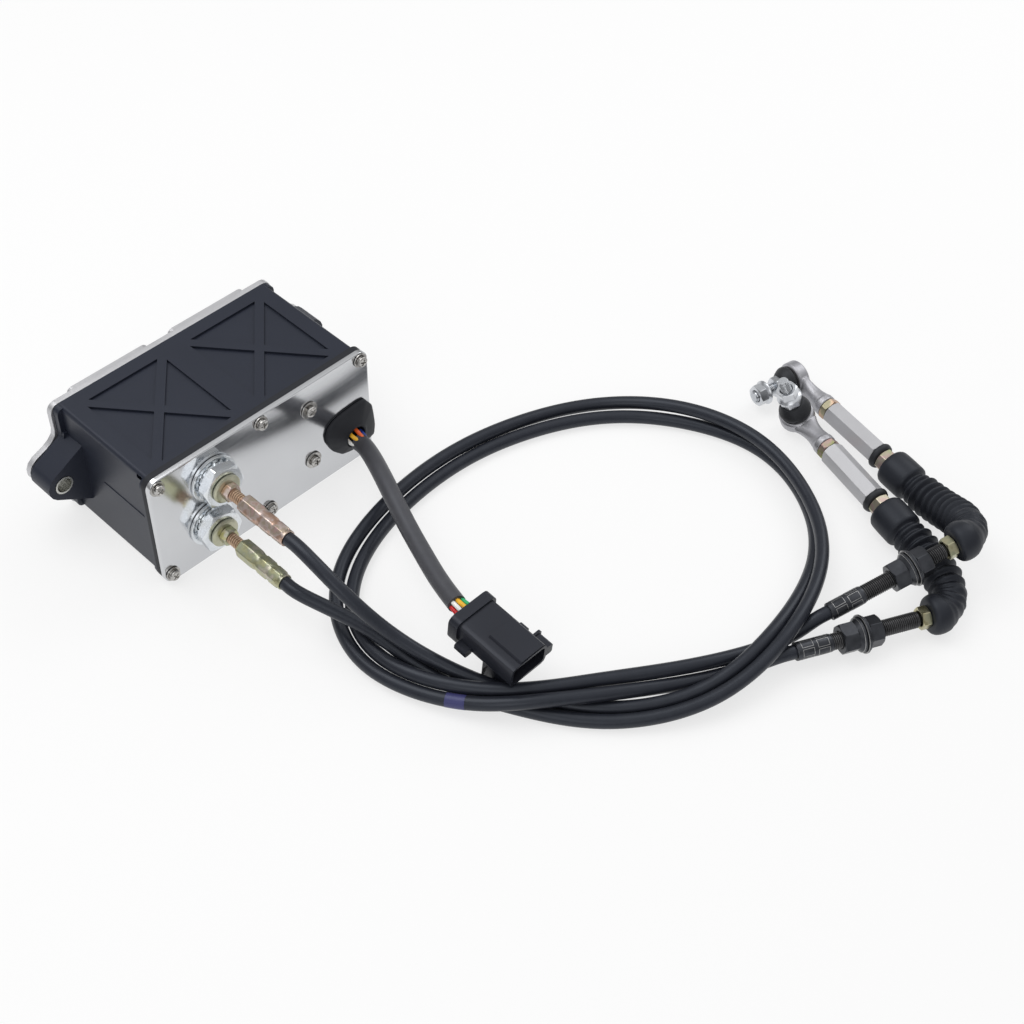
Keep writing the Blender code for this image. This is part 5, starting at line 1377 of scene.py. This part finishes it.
class GOVERNOR_OT_plug(bpy.types.Operator):
    """Finishes the connector and its pins, and bares the wires at both ends of the sleeve"""
    bl_idname = "governor.plug"
    bl_label = "Connector"

    def execute(self, context):
        nylon = moulded("connector nylon", tuple(context.scene.governor_plastic.plug_colour), 0.38)
        softened("connector_shell", "connector", 0.45, nylon)
        brass = plated("pin brass", [(0.0, (0.6, 0.45, 0.2)), (1.0, (0.75, 0.62, 0.35))], 0.25)
        dress(["connector_pins"], brass)
        rear, front = Vector(PLUG_REAR), Vector(PLUG_FRONT)
        f = axis_frame(rear, front - rear, UP)
        keel = piece("connector_keel", [box(f, (-27.5, 7.3, 23.8), (-7.5, 9.9, 46.0))], nylon)
        with_modifiers(keel, ("BEVEL", {"width": 0.5 * MM, "segments": 2}))
        paints = {name: vinyl(name + " wire", colour, 0.35) for name, colour in WIRE_COLOURS.items()}
        self.plug_wires(f, paints)
        self.grommet_wires(paints)
        return {"FINISHED"}

    def plug_wires(self, f, paints):
        """Wires from the sleeve's end into the plug's rear."""
        path = sleeve_path()
        end = Vector(path[-1])
        back = (end - Vector(path[-4])).normalized()
        side = UP.cross(back).normalized()
        top = back.cross(side)
        for name, across, up in (("green", 3.1, 1.9), ("yellow", 0.2, 3.0), ("white", -2.6, 2.4),
                                 ("red", -4.0, -0.6), ("blue", 3.6, -1.4)):
            at = end + side * across + top * up
            into = f @ (Vector((0.5 + up, 0.0, 2.0)) * MM)
            goal = into / MM + side * across * 1.35
            points = [tuple(at - back * 9.0), tuple(at - back * 3.0), tuple(at.lerp(goal, 0.5)), tuple(goal)]
            piece(name + "_plug_wire", [wire_route(points, 1.4)], paints[name], 60.0)

    def grommet_wires(self, paints):
        """Wires from the grommet's opening into the sleeve's start."""
        start = Vector(SLEEVE_START)
        for name, dx, dz, gx, gz in (("white", -3.2, 1.2, -5.4, 1.2), ("yellow", -1.4, 3.2, -3.2, 5.4),
                                     ("orange", 1.4, 3.6, 1.4, 6.4), ("blue", 3.8, 1.6, 5.2, 2.4)):
            steps = ((gx, 4.0, gz + 1.0), (gx, 1.0, gz), ((gx + dx) / 2, -2.0, (gz + dz) / 2),
                     (dx, -6.0, dz - 0.5))
            points = [tuple(start + Vector(step)) for step in steps]
            piece(name + "_grommet_wire", [wire_route(points, 1.35)], paints[name], 60.0)


class GOVERNOR_PT_panel(bpy.types.Panel):
    """Lists the pieces and their settings"""
    bl_label = "Governor actuator"
    bl_idname = "GOVERNOR_PT_panel"
    bl_space_type = "VIEW_3D"
    bl_region_type = "UI"
    bl_category = "Governor"

    def draw(self, context):
        for kind in OPERATORS:
            self.layout.operator(kind.bl_idname)
        for group in ("cables", "boots", "metal", "plastic", "stage"):
            settings = getattr(context.scene, "governor_" + group)
            area = self.layout.box()
            area.label(text=group.capitalize())
            for name in settings.__annotations__:
                area.prop(settings, name)


GROUPS = {"cables": GovernorCables, "boots": GovernorBoots, "metal": GovernorMetal,
          "plastic": GovernorPlastic, "stage": GovernorStage}
OPERATORS = (GOVERNOR_OT_stage, GOVERNOR_OT_housing, GOVERNOR_OT_plate, GOVERNOR_OT_drive,
             GOVERNOR_OT_fittings, GOVERNOR_OT_hubs, GOVERNOR_OT_boots, GOVERNOR_OT_links,
             GOVERNOR_OT_plug, GOVERNOR_OT_cables, GOVERNOR_OT_sleeve)


def register():
    for kind in (*GROUPS.values(), *OPERATORS, GOVERNOR_PT_panel):
        bpy.utils.register_class(kind)
    for name, kind in GROUPS.items():
        setattr(bpy.types.Scene, "governor_" + name, bpy.props.PointerProperty(type=kind))


def unregister():
    for name in GROUPS:
        delattr(bpy.types.Scene, "governor_" + name)
    for kind in (GOVERNOR_PT_panel, *reversed(OPERATORS), *reversed(tuple(GROUPS.values()))):
        bpy.utils.unregister_class(kind)


def main():
    register()
    for kind in OPERATORS:
        group, name = kind.bl_idname.split(".")
        getattr(getattr(bpy.ops, group), name)()


if __name__ == "__main__":
    main()
